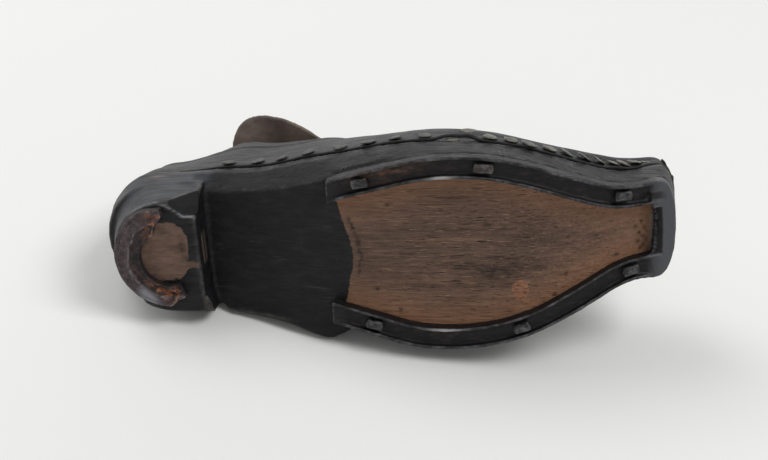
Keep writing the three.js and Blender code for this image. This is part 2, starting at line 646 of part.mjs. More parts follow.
const shoe = new THREE.Group();
shoe.name = 'shoe';
shoe.add(meshOf('wooden_sole', sole, stained));
shoe.add(meshOf('upper', upper, leather));
shoe.add(meshOf('tongue', tongue, flesh));
shoe.add(meshOf('insole', insole, insoleSkin));
shoe.add(meshOf('welt_and_tacks', welt, tackLeather));
shoe.add(meshOf('forepart_iron', foreIron, iron));
shoe.add(meshOf('heel_iron', heelIron, rust));
for (const [name, side, share] of NAILS) {
  const { at, yaw } = bandPoint(side, share);
  const mesh = new THREE.Mesh(new THREE.BoxGeometry(NAIL_L, NAIL_W, NAIL_H), iron.clone());
  mesh.name = name;
  const slope = (treadZ(at[0] + NAIL_L / 2) - treadZ(at[0] - NAIL_L / 2)) / NAIL_L;
  mesh.rotation.set(0, -Math.atan(slope * Math.cos(yaw)), yaw, 'ZYX');
  mesh.position.set(at[0], at[1], treadZ(at[0]) + IRON_GROOVE - LIFT - NAIL_H / 2);
  mesh.userData.volume = NAIL_L * NAIL_W * NAIL_H;
  shoe.add(mesh);
}

// Lay the shoe down: the face of its convex hull that carries the weight on the upper
// as well as on the sole's edge, and looks most nearly towards the lateral side,
// becomes the floor
shoe.updateMatrixWorld(true);
const DENSITY = { wooden_sole: 0.6, forepart_iron: 7.8, heel_iron: 7.8 };
const cloud = [];
const weight = new THREE.Vector3();
let total = 0;
for (const mesh of shoe.children) {
  const at = mesh.geometry.getAttribute('position');
  const centre = mesh.userData.centre ?? mesh.position;
  for (let i = 0; i < at.count; i += 1) {
    const p = new THREE.Vector3().fromBufferAttribute(at, i).applyMatrix4(mesh.matrix);
    p.piece = mesh.name;
    cloud.push(p);
  }
  const share = mesh.userData.volume * (DENSITY[mesh.name] ?? 0.95);
  weight.addScaledVector(centre, share);
  total += share;
}
weight.divideScalar(total);
const hull = new ConvexHull().setFromPoints(cloud);
let best = null;
for (const face of hull.faces) {
  const ring = [];
  let edge = face.edge;
  do {
    ring.push(edge.head().point);
    edge = edge.next;
  } while (edge !== face.edge);
  const foot = weight.clone().addScaledVector(face.normal, -face.distanceToPoint(weight));
  let inside = true;
  for (let k = 0; k < ring.length; k += 1) {
    const a = ring[k];
    const b = ring[(k + 1) % ring.length];
    const turn = b.clone().sub(a).cross(foot.clone().sub(a)).dot(face.normal);
    if (turn < 0) inside = false;
  }
  const leans = ring.some((p) => p.piece === 'upper');
  if (inside && leans && (!best || face.normal.y > best.normal.y)) {
    best = face;
  }
}
const down = new THREE.Quaternion().setFromUnitVectors(best.normal, new THREE.Vector3(0, 0, -1));
const toe = new THREE.Vector3(1, 0, 0).applyQuaternion(down);
const spin = new THREE.Quaternion().setFromAxisAngle(
  new THREE.Vector3(0, 0, 1),
  -Math.atan2(toe.y, toe.x),
);
shoe.quaternion.copy(spin.multiply(down));

const group = new THREE.Group();
group.name = 'clog';
group.add(shoe);
group.updateMatrixWorld(true);
const box = new THREE.Box3().setFromObject(group, true);
shoe.position.set(-(box.min.x + box.max.x) / 2, -(box.min.y + box.max.y) / 2, -box.min.z);
group.updateMatrixWorld(true);

export default group;
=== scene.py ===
import json
import math
import random

import bmesh
import bpy
import numpy as np
from mathutils import Matrix, Vector, noise
from mathutils.bvhtree import BVHTree


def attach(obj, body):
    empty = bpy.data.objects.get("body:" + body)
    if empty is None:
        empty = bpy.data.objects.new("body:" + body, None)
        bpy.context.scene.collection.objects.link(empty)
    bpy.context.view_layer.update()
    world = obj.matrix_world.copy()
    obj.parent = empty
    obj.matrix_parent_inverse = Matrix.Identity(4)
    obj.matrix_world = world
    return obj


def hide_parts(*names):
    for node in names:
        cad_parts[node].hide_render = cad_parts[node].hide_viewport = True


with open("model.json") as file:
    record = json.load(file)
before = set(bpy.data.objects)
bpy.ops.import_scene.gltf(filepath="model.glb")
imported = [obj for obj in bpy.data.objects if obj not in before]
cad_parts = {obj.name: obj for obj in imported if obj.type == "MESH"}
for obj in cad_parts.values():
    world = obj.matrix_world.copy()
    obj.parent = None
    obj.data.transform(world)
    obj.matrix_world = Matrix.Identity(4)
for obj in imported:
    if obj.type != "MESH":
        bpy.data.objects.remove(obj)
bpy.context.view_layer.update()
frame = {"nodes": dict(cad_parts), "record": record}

# The clog's own frame, in millimetres: x from the back of the heel to the toe, y to
# the outer side, z up from the plane that both irons tread on. The clog lies on its
# outer side, and the record's two treads say how.
HEEL_TREAD = Vector((40.91, 19.87, 0))
BALL_TREAD = Vector((155.66, -44.81, 0))
MM = 0.001
treads = {mount["name"]: mount for mount in frame["record"]["mounts"]}
heel_spot = Vector(treads["heel_tread"]["pos_m"])
ball_spot = Vector(treads["ball_tread"]["pos_m"])
up = -Vector(treads["heel_tread"]["axis"]).normalized()
between = BALL_TREAD - HEEL_TREAD
skew = math.atan2(between.y, between.x)
along = (ball_spot - heel_spot).normalized()
toeward = (along * math.cos(skew) - up.cross(along) * math.sin(skew)).normalized()
up = toeward.cross(up.cross(toeward)).normalized()
outward = up.cross(toeward)
rotation = Matrix((toeward, outward, up)).transposed()
origin = heel_spot - rotation @ HEEL_TREAD * MM
shoe_matrix = Matrix.Translation(origin) @ rotation.to_4x4() @ Matrix.Scale(MM, 4)

# The camera looks at the sole from 22 degrees on the inner side of its normal and a
# little from the toe, 0.7 m away, and is rolled by the clog's own lie.
CAMERA_PLACE = Vector((204.98, -273.27, -640.36))
CAMERA_ELEVATION = math.radians(22)
CAMERA_YAW = math.radians(-6.5)
CAMERA_ROLL = math.radians(2.5)
FOCAL_PIXELS = 1614.8
PICTURE_WIDTH = 768
level_ahead = Vector((math.sin(CAMERA_YAW), 0, math.cos(CAMERA_YAW)))
level_right = Vector((math.cos(CAMERA_YAW), 0, -math.sin(CAMERA_YAW)))
side = Vector((0, 1, 0))
ahead = math.cos(CAMERA_ELEVATION) * level_ahead + math.sin(CAMERA_ELEVATION) * side
above = math.sin(CAMERA_ELEVATION) * level_ahead - math.cos(CAMERA_ELEVATION) * side
right = math.cos(CAMERA_ROLL) * level_right - math.sin(CAMERA_ROLL) * above
above = math.sin(CAMERA_ROLL) * level_right + math.cos(CAMERA_ROLL) * above
camera_data = bpy.data.cameras.new("camera")
camera_data.sensor_width = 36
camera_data.lens = FOCAL_PIXELS / PICTURE_WIDTH * camera_data.sensor_width
camera = bpy.data.objects.new("camera", camera_data)
bpy.context.scene.collection.objects.link(camera)
axes = Matrix((rotation @ right, rotation @ above, rotation @ -ahead)).transposed()
camera.matrix_world = Matrix.Translation(shoe_matrix @ CAMERA_PLACE) @ axes.to_4x4()
bpy.context.scene.camera = camera
bpy.context.scene.view_settings.view_transform = "Standard"


def linear(code):
    """The linear colour of an sRGB hex value."""
    parts = [int(code[k:k + 2], 16) / 255 for k in (0, 2, 4)]
    return [c / 12.92 if c <= 0.04045 else ((c + 0.055) / 1.055) ** 2.4 for c in parts] + [1]



def put(tree, socket, value):
    """Sets an input, or links it to an output or to a node's first open output."""
    if isinstance(value, bpy.types.Node):
        value = next(output for output in value.outputs if output.enabled)
    if isinstance(value, bpy.types.NodeSocket):
        tree.links.new(value, socket)
    elif value is not None:
        socket.default_value = value


def add(tree, kind, *values, stops=(), **settings):
    """Adds a node with its settings. The values go to its open inputs, in their order."""
    made = tree.nodes.new("ShaderNode" + kind)
    for name, value in settings.items():
        setattr(made, name, value)
    if stops:
        for element, (position, code) in zip(made.color_ramp.elements, (stops[0], stops[-1])):
            element.position = position
            element.color = linear(code)
    for position, code in stops[1:-1]:
        made.color_ramp.elements.new(position).color = linear(code)
    for socket, value in zip([socket for socket in made.inputs if socket.enabled], values):
        put(tree, socket, value)
    return made


def new_material(name):
    """An empty material, its node tree and its principled shader."""
    material = bpy.data.materials.new(name)
    material.use_nodes = True
    tree = material.node_tree
    return material, tree, tree.nodes["Principled BSDF"]


def new_piece(shape, name):
    """Makes an object in the scene of a bmesh, which is given up."""
    mesh = bpy.data.meshes.new(name)
    shape.to_mesh(mesh)
    shape.free()
    piece = bpy.data.objects.new(name, mesh)
    bpy.context.scene.collection.objects.link(piece)
    return piece


# A plain pale floor of matt paint, wide enough to fill every view, on which the clog
# lies. Broad soft lamps stand all round it, so its shadows are short.
FLOOR_SIZE = 8.0
floor_shape = bmesh.new()
bmesh.ops.create_grid(floor_shape, x_segments=1, y_segments=1, size=FLOOR_SIZE / 2)
floor = new_piece(floor_shape, "floor")
floor_paint, tree, shader = new_material("matt_floor_paint")
shader.inputs["Base Color"].default_value = linear("EDEDEA")
shader.inputs["Roughness"].default_value = 0.9
shader.inputs["Specular IOR Level"].default_value = 0.1
floor.data.materials.append(floor_paint)

world = bpy.data.worlds.new("studio")
world.use_nodes = True
world.node_tree.nodes["Background"].inputs["Color"].default_value = linear("F4F5F7")
world.node_tree.nodes["Background"].inputs["Strength"].default_value = 0.29
bpy.context.scene.world = world
LAMPS = {
    # name: place and aim in metres, width, depth, watts
    "rear_lamp": ((0.0, 1.8, 0.5), (0, 0, 0.05), 2.8, 0.8, 12.5),
    "front_lamp": ((0.0, -1.6, 0.6), (0, 0, 0.05), 2.0, 0.8, 2.8),
    "left_lamp": ((-1.6, 0.2, 0.6), (0, 0, 0.05), 1.2, 0.8, 7.0),
    "upper_left_lamp": ((-0.9, 0.6, 1.5), (0, 0, 0), 0.9, 1.2, 10.5),
    "upper_right_lamp": ((0.9, -0.4, 1.5), (0, 0, 0), 0.9, 0.8, 15.5),
}
for name, (place, aim, width, depth, watts) in LAMPS.items():
    lamp_data = bpy.data.lights.new(name, "AREA")
    lamp_data.shape = "RECTANGLE"
    lamp_data.size = width
    lamp_data.size_y = depth
    lamp_data.energy = watts
    lamp = bpy.data.objects.new(name, lamp_data)
    bpy.context.scene.collection.objects.link(lamp)
    lamp.visible_camera = False
    lamp.location = place
    lamp.rotation_euler = (Vector(aim) - Vector(place)).to_track_quat("-Z", "Y").to_euler()


# The sole is one piece of light hardwood, sawn and carved with its heel. Its edges,
# waist and heel are stained black and rubbed; the forepart's tread between the arms of
# the iron, and the plug of the heel, are bare brown wood, worn and dirty.
SOLE_GRAIN = 1.0                # size of the faces of its even skin
MIDLINE = -2                    # y of the line from heel to toe
IRON_T = 6                      # the wood's tread lies this far above the irons'
TOE_SPRING = 23.4
PLUG = (33, -0.9)               # middle of the heel's bare wood
PLUG_SIZE = (10.8, 13.6)
TREAD_EDGE = ((-26, 109), (-22, 111), (-14, 113), (-5, 116), (2, 117.2), (9, 116.4),
              (14, 115), (19, 113), (23, 111.5), (27, 108))
DARK_STAINS = (
    # x, y, length and width of dirt trodden into the bare wood, and its strength
    (183, 10, 12, 6, 0.8), (199, 8, 2.5, 2, 0.9), (162, -26, 16, 4, 0.45),
    (198, -6, 18, 9, 0.4), (169, 7, 14, 6, 0.5), (223, -4.5, 3, 1.2, 0.8),
    (232, 5.5, 1.2, 1, 1.0), (141, -6, 22, 10, 0.25), (176, -14, 26, 8, 0.3),
    (41.5, -2.5, 1.8, 4, 1.0), (44.5, 2.5, 3, 1.6, 0.9), (47, 5, 3, 3, 0.6),
    (150, 14, 20, 4, 0.3), (122, 2, 6, 16, 0.25),
)
PITS = ((243, -8), (244.4, -5), (242, -3), (243.6, -1), (241.6, 1.4), (244, 3), (240.4, -6),
        (242.6, 4.4), (245, 0.6), (210, 12), (133, -22), (127, 18), (137, 28), (205, 22))
KNOT = (190.4, 18.4)
KNOT_SIZE = (4.2, 5)
KNOT_TAIL = (194.5, 25)         # a streak of the knot's colour runs past its outer corner
TOE_CORNER = (252, 17)
FRONT_PUSH = (1.1, 0, 0)        # how far the toe stands out in front, and at its corner
CORNER_PUSH = (0, 2.0, 0)
TOE_BAR = (246, 254)            # back and front of the iron across the toe, by x
FLOOR_GAP = 1.2                 # what is drawn out towards the floor stops this far above it
FAR_OFF = 99.0                  # further from the iron than its mark on the wood reaches


def shoe_points(piece):
    """Every vertex of a piece, in the clog's own millimetres."""
    points = np.empty(len(piece.data.vertices) * 3)
    piece.data.vertices.foreach_get("co", points)
    back = np.array(shoe_matrix.inverted())
    return points.reshape(-1, 3) @ back[:3, :3].T + back[:3, 3]


def shoe_normals(piece):
    """Every vertex normal of a piece, in the clog's own axes."""
    normals = np.empty(len(piece.data.vertices) * 3)
    piece.data.vertex_normals.foreach_get("vector", normals)
    return normals.reshape(-1, 3) @ np.array(rotation)


def set_points(piece, points):
    """Puts the vertices of a piece at places given in the clog's own millimetres."""
    turn = np.array(shoe_matrix)
    piece.data.vertices.foreach_set("co", (points @ turn[:3, :3].T + turn[:3, 3]).ravel())
    piece.data.update()


def paint(piece, name, values):
    """Keeps a number for each vertex, which a material reads by its name."""
    layer = piece.data.attributes.new(name, "FLOAT", "POINT")
    layer.data.foreach_set("value", np.clip(values, 0, 1).astype(np.float32))


def bumps(points, sizes, seed):
    """Smooth noise from -1 to 1 whose lumps have the given sizes in millimetres."""
    shift = Vector((seed * 17.3, seed * 5.1, seed * 9.7))
    scaled = points / np.array(sizes)
    return np.array([noise.noise(Vector(p) + shift) for p in scaled])


def step(values, low, high):
    """0 below low, 1 above high, and smooth between."""
    t = np.clip((values - low) / (high - low), 0, 1)
    return t * t * (3 - 2 * t)


def convexity(piece, rounds):
    """How far each vertex stands out from its neighbours, averaged over some rounds."""
    points = shoe_points(piece)
    ends = np.empty(len(piece.data.edges) * 2, dtype=np.int64)
    piece.data.edges.foreach_get("vertices", ends)
    a, b = ends.reshape(-1, 2).T
    count = np.bincount(ends, minlength=len(points)).clip(1)

    def mean(values):
        total = np.bincount(a, values[b], len(points)) + np.bincount(b, values[a], len(points))
        return total / count
    around = np.stack([mean(points[:, k]) for k in range(3)], axis=1)
    out = np.sum((points - around) * shoe_normals(piece), axis=1)
    for _ in range(rounds):
        out = mean(out)
    return out


def refined_copy(node, name, grain, rounds, sharp=38, levels=2):
    """A copy of a solid with its facets rounded out and an even skin of small faces."""
    shape = bmesh.new()
    shape.from_mesh(frame["nodes"][node].data)
    bmesh.ops.remove_doubles(shape, verts=shape.verts, dist=2e-6)
    bmesh.ops.join_triangles(
        shape, faces=shape.faces, angle_face_threshold=math.radians(25),
        angle_shape_threshold=math.radians(120),
    )
    crease = shape.edges.layers.float.new("crease_edge")
    for edge in shape.edges:
        if edge.calc_face_angle(0) > math.radians(sharp):
            edge[crease] = 1
    piece = new_piece(shape, name)
    rounding = piece.modifiers.new("rounding", "SUBSURF")
    rounding.levels = rounding.render_levels = levels
    skin = piece.modifiers.new("skin", "REMESH")
    skin.mode = "VOXEL"
    skin.voxel_size = grain * MM
    soften = piece.modifiers.new("soften", "SMOOTH")
    soften.factor = 0.5
    soften.iterations = rounds
    view = bpy.context.evaluated_depsgraph_get()
    done = bpy.data.meshes.new_from_object(piece.evaluated_get(view))
    piece.modifiers.clear()
    piece.data = done
    done.shade_smooth()
    return piece


def surface_of(node):
    """The surface of a solid, for measuring how far or where it lies."""
    shape = bmesh.new()
    shape.from_mesh(frame["nodes"][node].data)
    surface = BVHTree.FromBMesh(shape)
    shape.free()
    return surface


def shoe_coordinates(tree):
    """The clog's own millimetres, for patterns that keep still on it."""
    place = add(tree, "TexCoord").outputs["Object"]
    return add(tree, "Mapping", place, origin, rotation.to_euler(), (MM, MM, MM),
               vector_type="TEXTURE")


def stretched(tree, place, sizes, detail=4, roughness=0.5, limits=None, angle=0.0):
    """Noise whose lumps have the given sizes in millimetres, turned by an angle in plan.

    It goes from 0 to 1, or as limits say: from low and high to two values."""
    scaled = add(tree, "Mapping", place, (0, 0, 0), (0, 0, angle), [1 / s for s in sizes],
                 vector_type="POINT")
    made = add(tree, "TexNoise", scaled, 1.0, detail, roughness)
    return add(tree, "MapRange", made, *limits) if limits else made


def product(tree, *shares):
    """Multiplies shares: numbers, patterns, or the names of numbers painted on the piece."""
    result = None
    for share in shares:
        if isinstance(share, str):
            share = add(tree, "Attribute", attribute_name=share).outputs["Fac"]
        if result is not None:
            share = add(tree, "Math", result, share, operation="MULTIPLY")
        result = share
    return result


def coat(tree, under, colour, *shares):
    """Covers a colour with another, an sRGB hex or a pattern, by the product of shares."""
    if isinstance(colour, str):
        colour = linear(colour)
    return add(tree, "Mix", product(tree, *shares), under, colour, data_type="RGBA")


def dress(tree, shader, colour, roughness, *reliefs):
    """Gives a shader its colour, roughness and reliefs: heights from 0 to 1, depth in mm."""
    normal = None
    for heights, depth in reliefs:
        laid = add(tree, "Bump")
        laid.inputs["Distance"].default_value = depth * MM
        put(tree, laid.inputs["Height"], heights)
        put(tree, laid.inputs["Normal"], normal)
        normal = laid
    for name, value in (("Base Color", colour), ("Roughness", roughness), ("Normal", normal)):
        put(tree, shader.inputs[name], value)


# the lower edge of the leather: x and height
LEATHER_LINE = ((0, 35), (40, 35), (50, 34.5), (70, 32.2), (86, 28.7), (97, 26.2), (115, 23.1),
                (136, 20.2), (150, 19.3), (172, 19.3), (181, 19.5), (190, 20.3), (200, 21.6),
                (209, 23.4), (220, 26.2), (230, 29.6), (241, 34), (250, 38.4), (258, 42.7))
LINE_X = [row[0] for row in LEATHER_LINE]
LINE_Z = [row[1] for row in LEATHER_LINE]


def underneath(x):
    """Height of the wood's underside over the plane of the treads."""
    rise = (0, 0.01, 0.041, 0.098, 0.175, 0.297, 0.44, 0.628, 0.816, 1)
    spring = np.interp(x, (172, 181, 190, 200, 209, 220, 230, 241, 250, 258), rise)
    arch = np.interp(x, (60, 75, 90, 100, 120, 142), (14, 10.6, 6.5, 4.2, 1.2, 0))
    return IRON_T + TOE_SPRING * spring + arch


def toe_push(points):
    """The blunt toe stands a little further out towards its outer corner."""
    x, y, z = points.T
    front = step(x, 244, 256) * step(y, -20, -4)
    corner = np.exp(-((x - TOE_CORNER[0]) ** 2 + (y - TOE_CORNER[1]) ** 2) / 45)
    below_leather = (1 - step(z, 34, 42))[:, None]
    return below_leather * (front[:, None] * FRONT_PUSH + corner[:, None] * CORNER_PUSH)


def heel_pull(points):
    """The back of the heel and of the leather above it stands a little further in."""
    x, y, z = points.T
    back = (1 - step(x, -2, 24)) * step(z, 8, 16)
    return (back * (1.9 + step(y, 0, 14)))[:, None] * (1, 0, 0)


def settle(points):
    """The outer side of heel and waist is drawn out towards the floor that it lies on."""
    turn = np.array(shoe_matrix)
    height = (points @ turn[2, :3] + turn[2, 3]) / MM
    x, y, z = points.T
    # heel and waist, outer side, from a little over the lower edge up to the leather
    share = step(x, 18, 30) * (1 - step(x, 112, 135)) * step(y, 12, 22)
    above_edge = z - np.interp(x, (48, 54, 80, 135), (0, 11, 9, 2))
    share *= step(above_edge, 0, 4.5) * (1 - step(z, 40, 50))
    most = np.interp(x, (50, 58), (3.5, 10))
    push = np.minimum(share * np.clip(height - FLOOR_GAP, 0, None), most)
    # the lower edge of the waist is rolled down
    lip = 3.2 * step(x, 52, 60) * (1 - step(x, 98, 120)) * step(y, 20, 27)
    lip *= 1 - step(z - underneath(x), 2, 9)
    return np.stack([0 * x, push * (1 - step(x, 104, 122)), -lip], axis=1)


def cut_corner(points):
    """The heel's inner front corner is pared away to a flat that slopes in to the tread."""
    x, y, z = points.T
    # the flat's y, which follows from x and z, and the small cut at the outer corner
    flat = -24.8 + 1.084 * (x - 36) - 1.212 * (z - 4.6)
    pared = np.where((x > 30) & (x < 51) & (y < -10) & (z < 22), np.minimum(flat, -17.3), -99)
    outer_flat = np.where((x > 41) & (x < 54), 0.42 * (y - 17.5), -9)
    outer_flat = np.where(z < 6, outer_flat, -9)
    return np.stack([x, np.maximum(y, pared), np.maximum(z, outer_flat)], axis=1), pared - y


sole = refined_copy("wooden_sole", "carved_sole", SOLE_GRAIN, 2, sharp=24)
points = shoe_points(sole)
normals = shoe_normals(sole)
x, y, z = points.T
under = step(-normals[:, 2], 0.55, 0.8)
# how far each place lies inside the bare wood, in millimetres
edge_x = np.interp(y, [row[0] for row in TREAD_EDGE], [row[1] for row in TREAD_EDGE])
in_tread = x - edge_x
from_plug = [np.abs(v - c) / size for v, c, size in zip((x, y), PLUG, PLUG_SIZE)]
in_plug = PLUG_SIZE[0] * (1 - (from_plug[0] ** 3 + from_plug[1] ** 3) ** (1 / 3))
in_tail = np.minimum(1.6 - np.abs(y - 5.2), x - 38)
frayed = 1.5 * bumps(points, (5, 3, 9), 7) * step(x, 34, 40)
heel = 1 - step(x, 52, 56)
bare_by = np.where(heel > 0.5, np.maximum(in_plug, in_tail) + frayed, in_tread)
bare_by = np.minimum(bare_by, 8 * (under - 0.5))
bare_by = np.where((heel > 0.5) & (z > 9), -4, bare_by)
bare = step(bare_by, -0.5, 0.5)
forepart = bare * (1 - heel)
# the tread is worn hollow, its grain is raised, and it has pits and the line of a saw
relief = 0.22 * bumps(points, (26, 20, 20), 3) + 0.1 * bumps(points, (9, 7, 7), 4)
relief += np.where(forepart > 0.5, 0.16, 0.04) * bumps(points, (30, 2.4, 2.4), 5)
relief -= 0.35 * forepart * np.exp(-((x - 172) / 38) ** 2) * (1 - (y / 60) ** 2)
saw_line = np.abs(x - edge_x - 3.2 + 0.8 * bumps(points, (6, 3, 6), 1))
sawn = (1 - step(saw_line, 0.3, 0.9)) * (1 - step(np.abs(y - MIDLINE), 12, 15))
relief -= 0.4 * under * sawn
for pit_x, pit_y in PITS:
    relief -= 0.9 * under * np.exp(-((x - pit_x) ** 2 + (y - pit_y) ** 2) / 0.5)
knot_reach = np.hypot((x - KNOT[0]) / KNOT_SIZE[0], (y - KNOT[1]) / KNOT_SIZE[1])
knot = 1 - step(knot_reach + 0.22 * bumps(points, (3, 3, 3), 9), 0.75, 1.05)
tail_x, tail_y = x - KNOT_TAIL[0], y - KNOT_TAIL[1] - 0.4 * (x - 194)
knot = np.maximum(knot, 0.8 * np.exp(-((tail_x / 4) ** 2 + (tail_y / 1.3) ** 2))) * under
relief += 0.3 * knot
# the wood has drawn back from the iron at the inner side of the waist
gap = np.exp(-((z - underneath(x) - 1.1) / 0.8) ** 2) * step(x, 108, 112)
gap *= (1 - step(x, 124, 140)) * step(-y, 20, 26) * (1 - under)
relief -= 1.3 * gap
# bruises and notches along the edges
relief -= step(convexity(sole, 2), 0.05, 0.15) * 0.5 * step(bumps(points, (7, 7, 7), 6), 0.1, 0.6)
pushed = points + normals * relief[:, None] + toe_push(points) + heel_pull(points)
pushed, pared = cut_corner(pushed + settle(points))
set_points(sole, pushed)
seen = shoe_points(sole)
line = np.interp(x, LINE_X, LINE_Z)
torn = np.exp(-((x - 162) / 10) ** 4) * step(-y, 10, 20) * step(z - line, -2.8, -1.8)
# painted shade, near black: in the joint at the heel, the gap at the inner waist, the recess
# behind the torn strip and on the outer waist that faces the floor
joint = np.exp(-((z - line + 0.4) / 0.5) ** 2) * (1 - step(x, 60, 75))
outer_waist = step(x, 50, 56) * (1 - step(x, 110, 122)) * step(y, 24, 26.5)
painted_shade = np.maximum(np.maximum(gap, joint) * (1 - under), np.maximum(torn, outer_waist))
paint(sole, "painted_shade", painted_shade)
paint(sole, "heel", heel)
# painted sheen: the side of the heel that faces up is painted a lighter, smoother grey
heel_side_sheen = (1 - step(x, 50, 54)) * (1 - under) * step(-y, -8, 4) * step(z, 5, 8)
paint(sole, "heel_side_sheen", heel_side_sheen * (1 - step(normals[:, 0], 0.4, 0.7)))
# the pared flat is painted darker than the rest of the stain: painted shade
paint(sole, "pared", 0.5 + (pared + 0.4) / 4)
# painted highlight: a thin light line along the bevel of the heel's tread edge
BEVEL_HIGHLIGHT_LINE = ((16, -17.5), (18.8, -19), (22, -21), (26.2, -23), (30.9, -24.1), (35.4, -22.5),
              (39.3, -20.3), (43.1, -17.3), (48, -17.6))
line_x, line_y = [np.array(column) for column in zip(*BEVEL_HIGHLIGHT_LINE)]
# the line lies on the surface wherever that is, so it is measured along the slope of the edge
from_line = seen[:, 1] - np.interp(seen[:, 0], line_x, line_y) - 0.404 * (seen[:, 2] - 4.6)
bevel = np.exp(-(from_line / 0.5) ** 2) * step(x, 16, 22) * (1 - step(x, 47, 49)) * (z < 13)
paint(sole, "bevel", bevel)
# painted highlight: a pale line on the edge where the bare wood ends at the toe
end_line_highlight = np.exp(-((x - 247.3) / 1.0) ** 4) * step(y, -13, -11) * (1 - step(y, 7, 9)) * under
paint(sole, "end_line_highlight", end_line_highlight)
paint(sole, "rubbed", step(convexity(sole, 1), 0.03, 0.12))
# raw wood: a chip on the inner side of the heel and two streaks on its breast
breast = step(normals[:, 0], 0.4, 0.7) * heel
patch = np.exp(-(((x - 27) / 3.6) ** 2 + ((z - 29.4) / 1.1) ** 2)) * step(-y, 20, 24)
streaks = np.exp(-((z - 12) / 0.9) ** 2) + 0.8 * np.exp(-((z - 16) / 0.7) ** 2)
streaks *= breast * step(y, -8, -4) * (1 - step(y, 6, 9))
paint(sole, "raw", np.maximum(streaks, patch))
# dirt in the bare wood, its knot, and the middle that is trodden most
stain = np.zeros(len(points))
for sx, sy, length, width, strength in DARK_STAINS:
    stain += strength * np.exp(-(((x - sx) / length) ** 2 + ((y - sy) / width) ** 2))
for pit_x, pit_y in PITS:
    stain += 1.3 * np.exp(-((x - pit_x) ** 2 + (y - pit_y) ** 2) / 0.7)
paint(sole, "stain", (stain + 2 * sawn) * under)
paint(sole, "knot", knot)
trodden = np.exp(-(((x - 178) / 38) ** 2 + ((y - MIDLINE) / 34) ** 2))
paint(sole, "trodden", trodden * under)
# how far each place of the bare wood lies from the iron
nearest = surface_of("forepart_iron")
far = np.full(len(points), FAR_OFF)
for k in np.nonzero(forepart > 0.05)[0]:
    hit = nearest.find_nearest(shoe_matrix @ Vector(seen[k]), 0.03)
    if hit[0] is not None:
        far[k] = hit[3] / MM
    # wood that lies outside the iron, or in front of it, is stained black
    here_x, here_y, here_z = seen[k]
    probe_y = here_y + math.copysign(1.3, here_y - MIDLINE)
    probe = shoe_matrix @ Vector((here_x, probe_y, here_z))
    iron_y = (shoe_matrix.inverted() @ nearest.find_nearest(probe)[0]).y
    out_by = abs(probe_y - MIDLINE)
    outside = out_by > max(abs(iron_y - MIDLINE) + 0.02, 9.5)
    if here_x < TOE_BAR[0] and outside or here_x > TOE_BAR[1]:
        bare_by[k] = -4
        far[k] = FAR_OFF
paint(sole, "rim", np.exp(-far / 8) * forepart)
paint(sole, "bare", 0.5 + bare_by / 8)

# Bare alder: dull brown, darker lengthwise pores, orange where the iron kept it clean.
# Black spirit stain: thin, rubbed grey on the edges, with fine scratches.
sole_wood, tree, shader = new_material("worn_alder_with_black_stain")
place = shoe_coordinates(tree)
long_grain = stretched(tree, place, (46, 2.2, 2.2), 8, 0.68)
flecks = stretched(tree, place, (7, 0.55, 0.55), 3, 0.6)
mottle = stretched(tree, place, (10, 4.5, 4.5), 6, 0.7)
broad = stretched(tree, place, (34, 20, 20), 3, 0.5)
worn = add(tree, "ValToRGB", long_grain, stops=(
    (0.3, "47372F"), (0.44, "5A463C"), (0.56, "6A5347"), (0.7, "80634F")))
worn = coat(tree, worn, "41322B", add(tree, "MapRange", mottle, 0.5, 0.66, 0, 0.5))
worn = coat(tree, worn, "5D4B42", add(tree, "MapRange", broad, 0.42, 0.66, 0, 0.4))
worn = coat(tree, worn, "AC7C5A", "rim", 0.56)
trodden = add(tree, "MapRange", product(tree, "trodden"), 0, 1, 0.25, 0.9)
cracked = product(tree, add(tree, "MapRange", flecks, 0.6, 0.66), trodden)
worn = coat(tree, worn, "241B17", cracked)
fibres = stretched(tree, place, (6, 0.45, 0.45), 3, 0.6, (0.6, 0.66), 0.02)
worn = coat(tree, worn, "B39075", fibres, add(tree, "MapRange", trodden, 0, 1, 0.2, 0.65))
plug_wood = add(tree, "ValToRGB", mottle, stops=(
    (0.35, "55433A"), (0.5, "6C564A"), (0.68, "7F6556")))
worn = coat(tree, worn, plug_wood, "heel", 0.85)
speck = stretched(tree, place, (5, 2, 2), 5, 0.7, (0.42, 0.6, 0.4, 1))
worn = coat(tree, worn, "2A211D", "stain", speck)
# painted highlight on the edge where the bare wood ends at the toe
worn = coat(tree, worn, "8F857B", "end_line_highlight", 0.8)
knot_edge = stretched(tree, place, (2.2, 1.2, 1.2), 4, 0.6, (0.3, 0.55))
knot_share = product(tree, "knot", add(tree, "MapRange", knot_edge, 0, 1, 0.55, 1))
knot_wood = add(tree, "ValToRGB", knot_edge, stops=(
    (0.1, "3E291F"), (0.4, "8A583E"), (0.9, "A06F55")))
worn = coat(tree, worn, knot_wood, add(tree, "MapRange", knot_share, 0.32, 0.5, 0, 0.6))
stain_noise = stretched(tree, place, (14, 3.5, 3.5), 8, 0.7)
black = add(tree, "ValToRGB", stain_noise, stops=(
    (0.34, "060608"), (0.5, "0F0F11"), (0.68, "1E1E22")))
scratches = stretched(tree, place, (26, 0.5, 4), 2, 0.4, (0.68, 0.74, 0, 0.4), 0.35)
for angle, longest in ((-0.5, 18), (1.15, 13), (1.75, 16)):
    more = stretched(tree, place, (longest, 0.5, 4), 2, 0.4, (0.7, 0.76, 0, 0.45), angle)
    scratches = add(tree, "Math", scratches, more, operation="MAXIMUM")
scuffed = stretched(tree, place, (16, 12, 12), 5, 0.7, (0.5, 0.66, 0.1, 1))
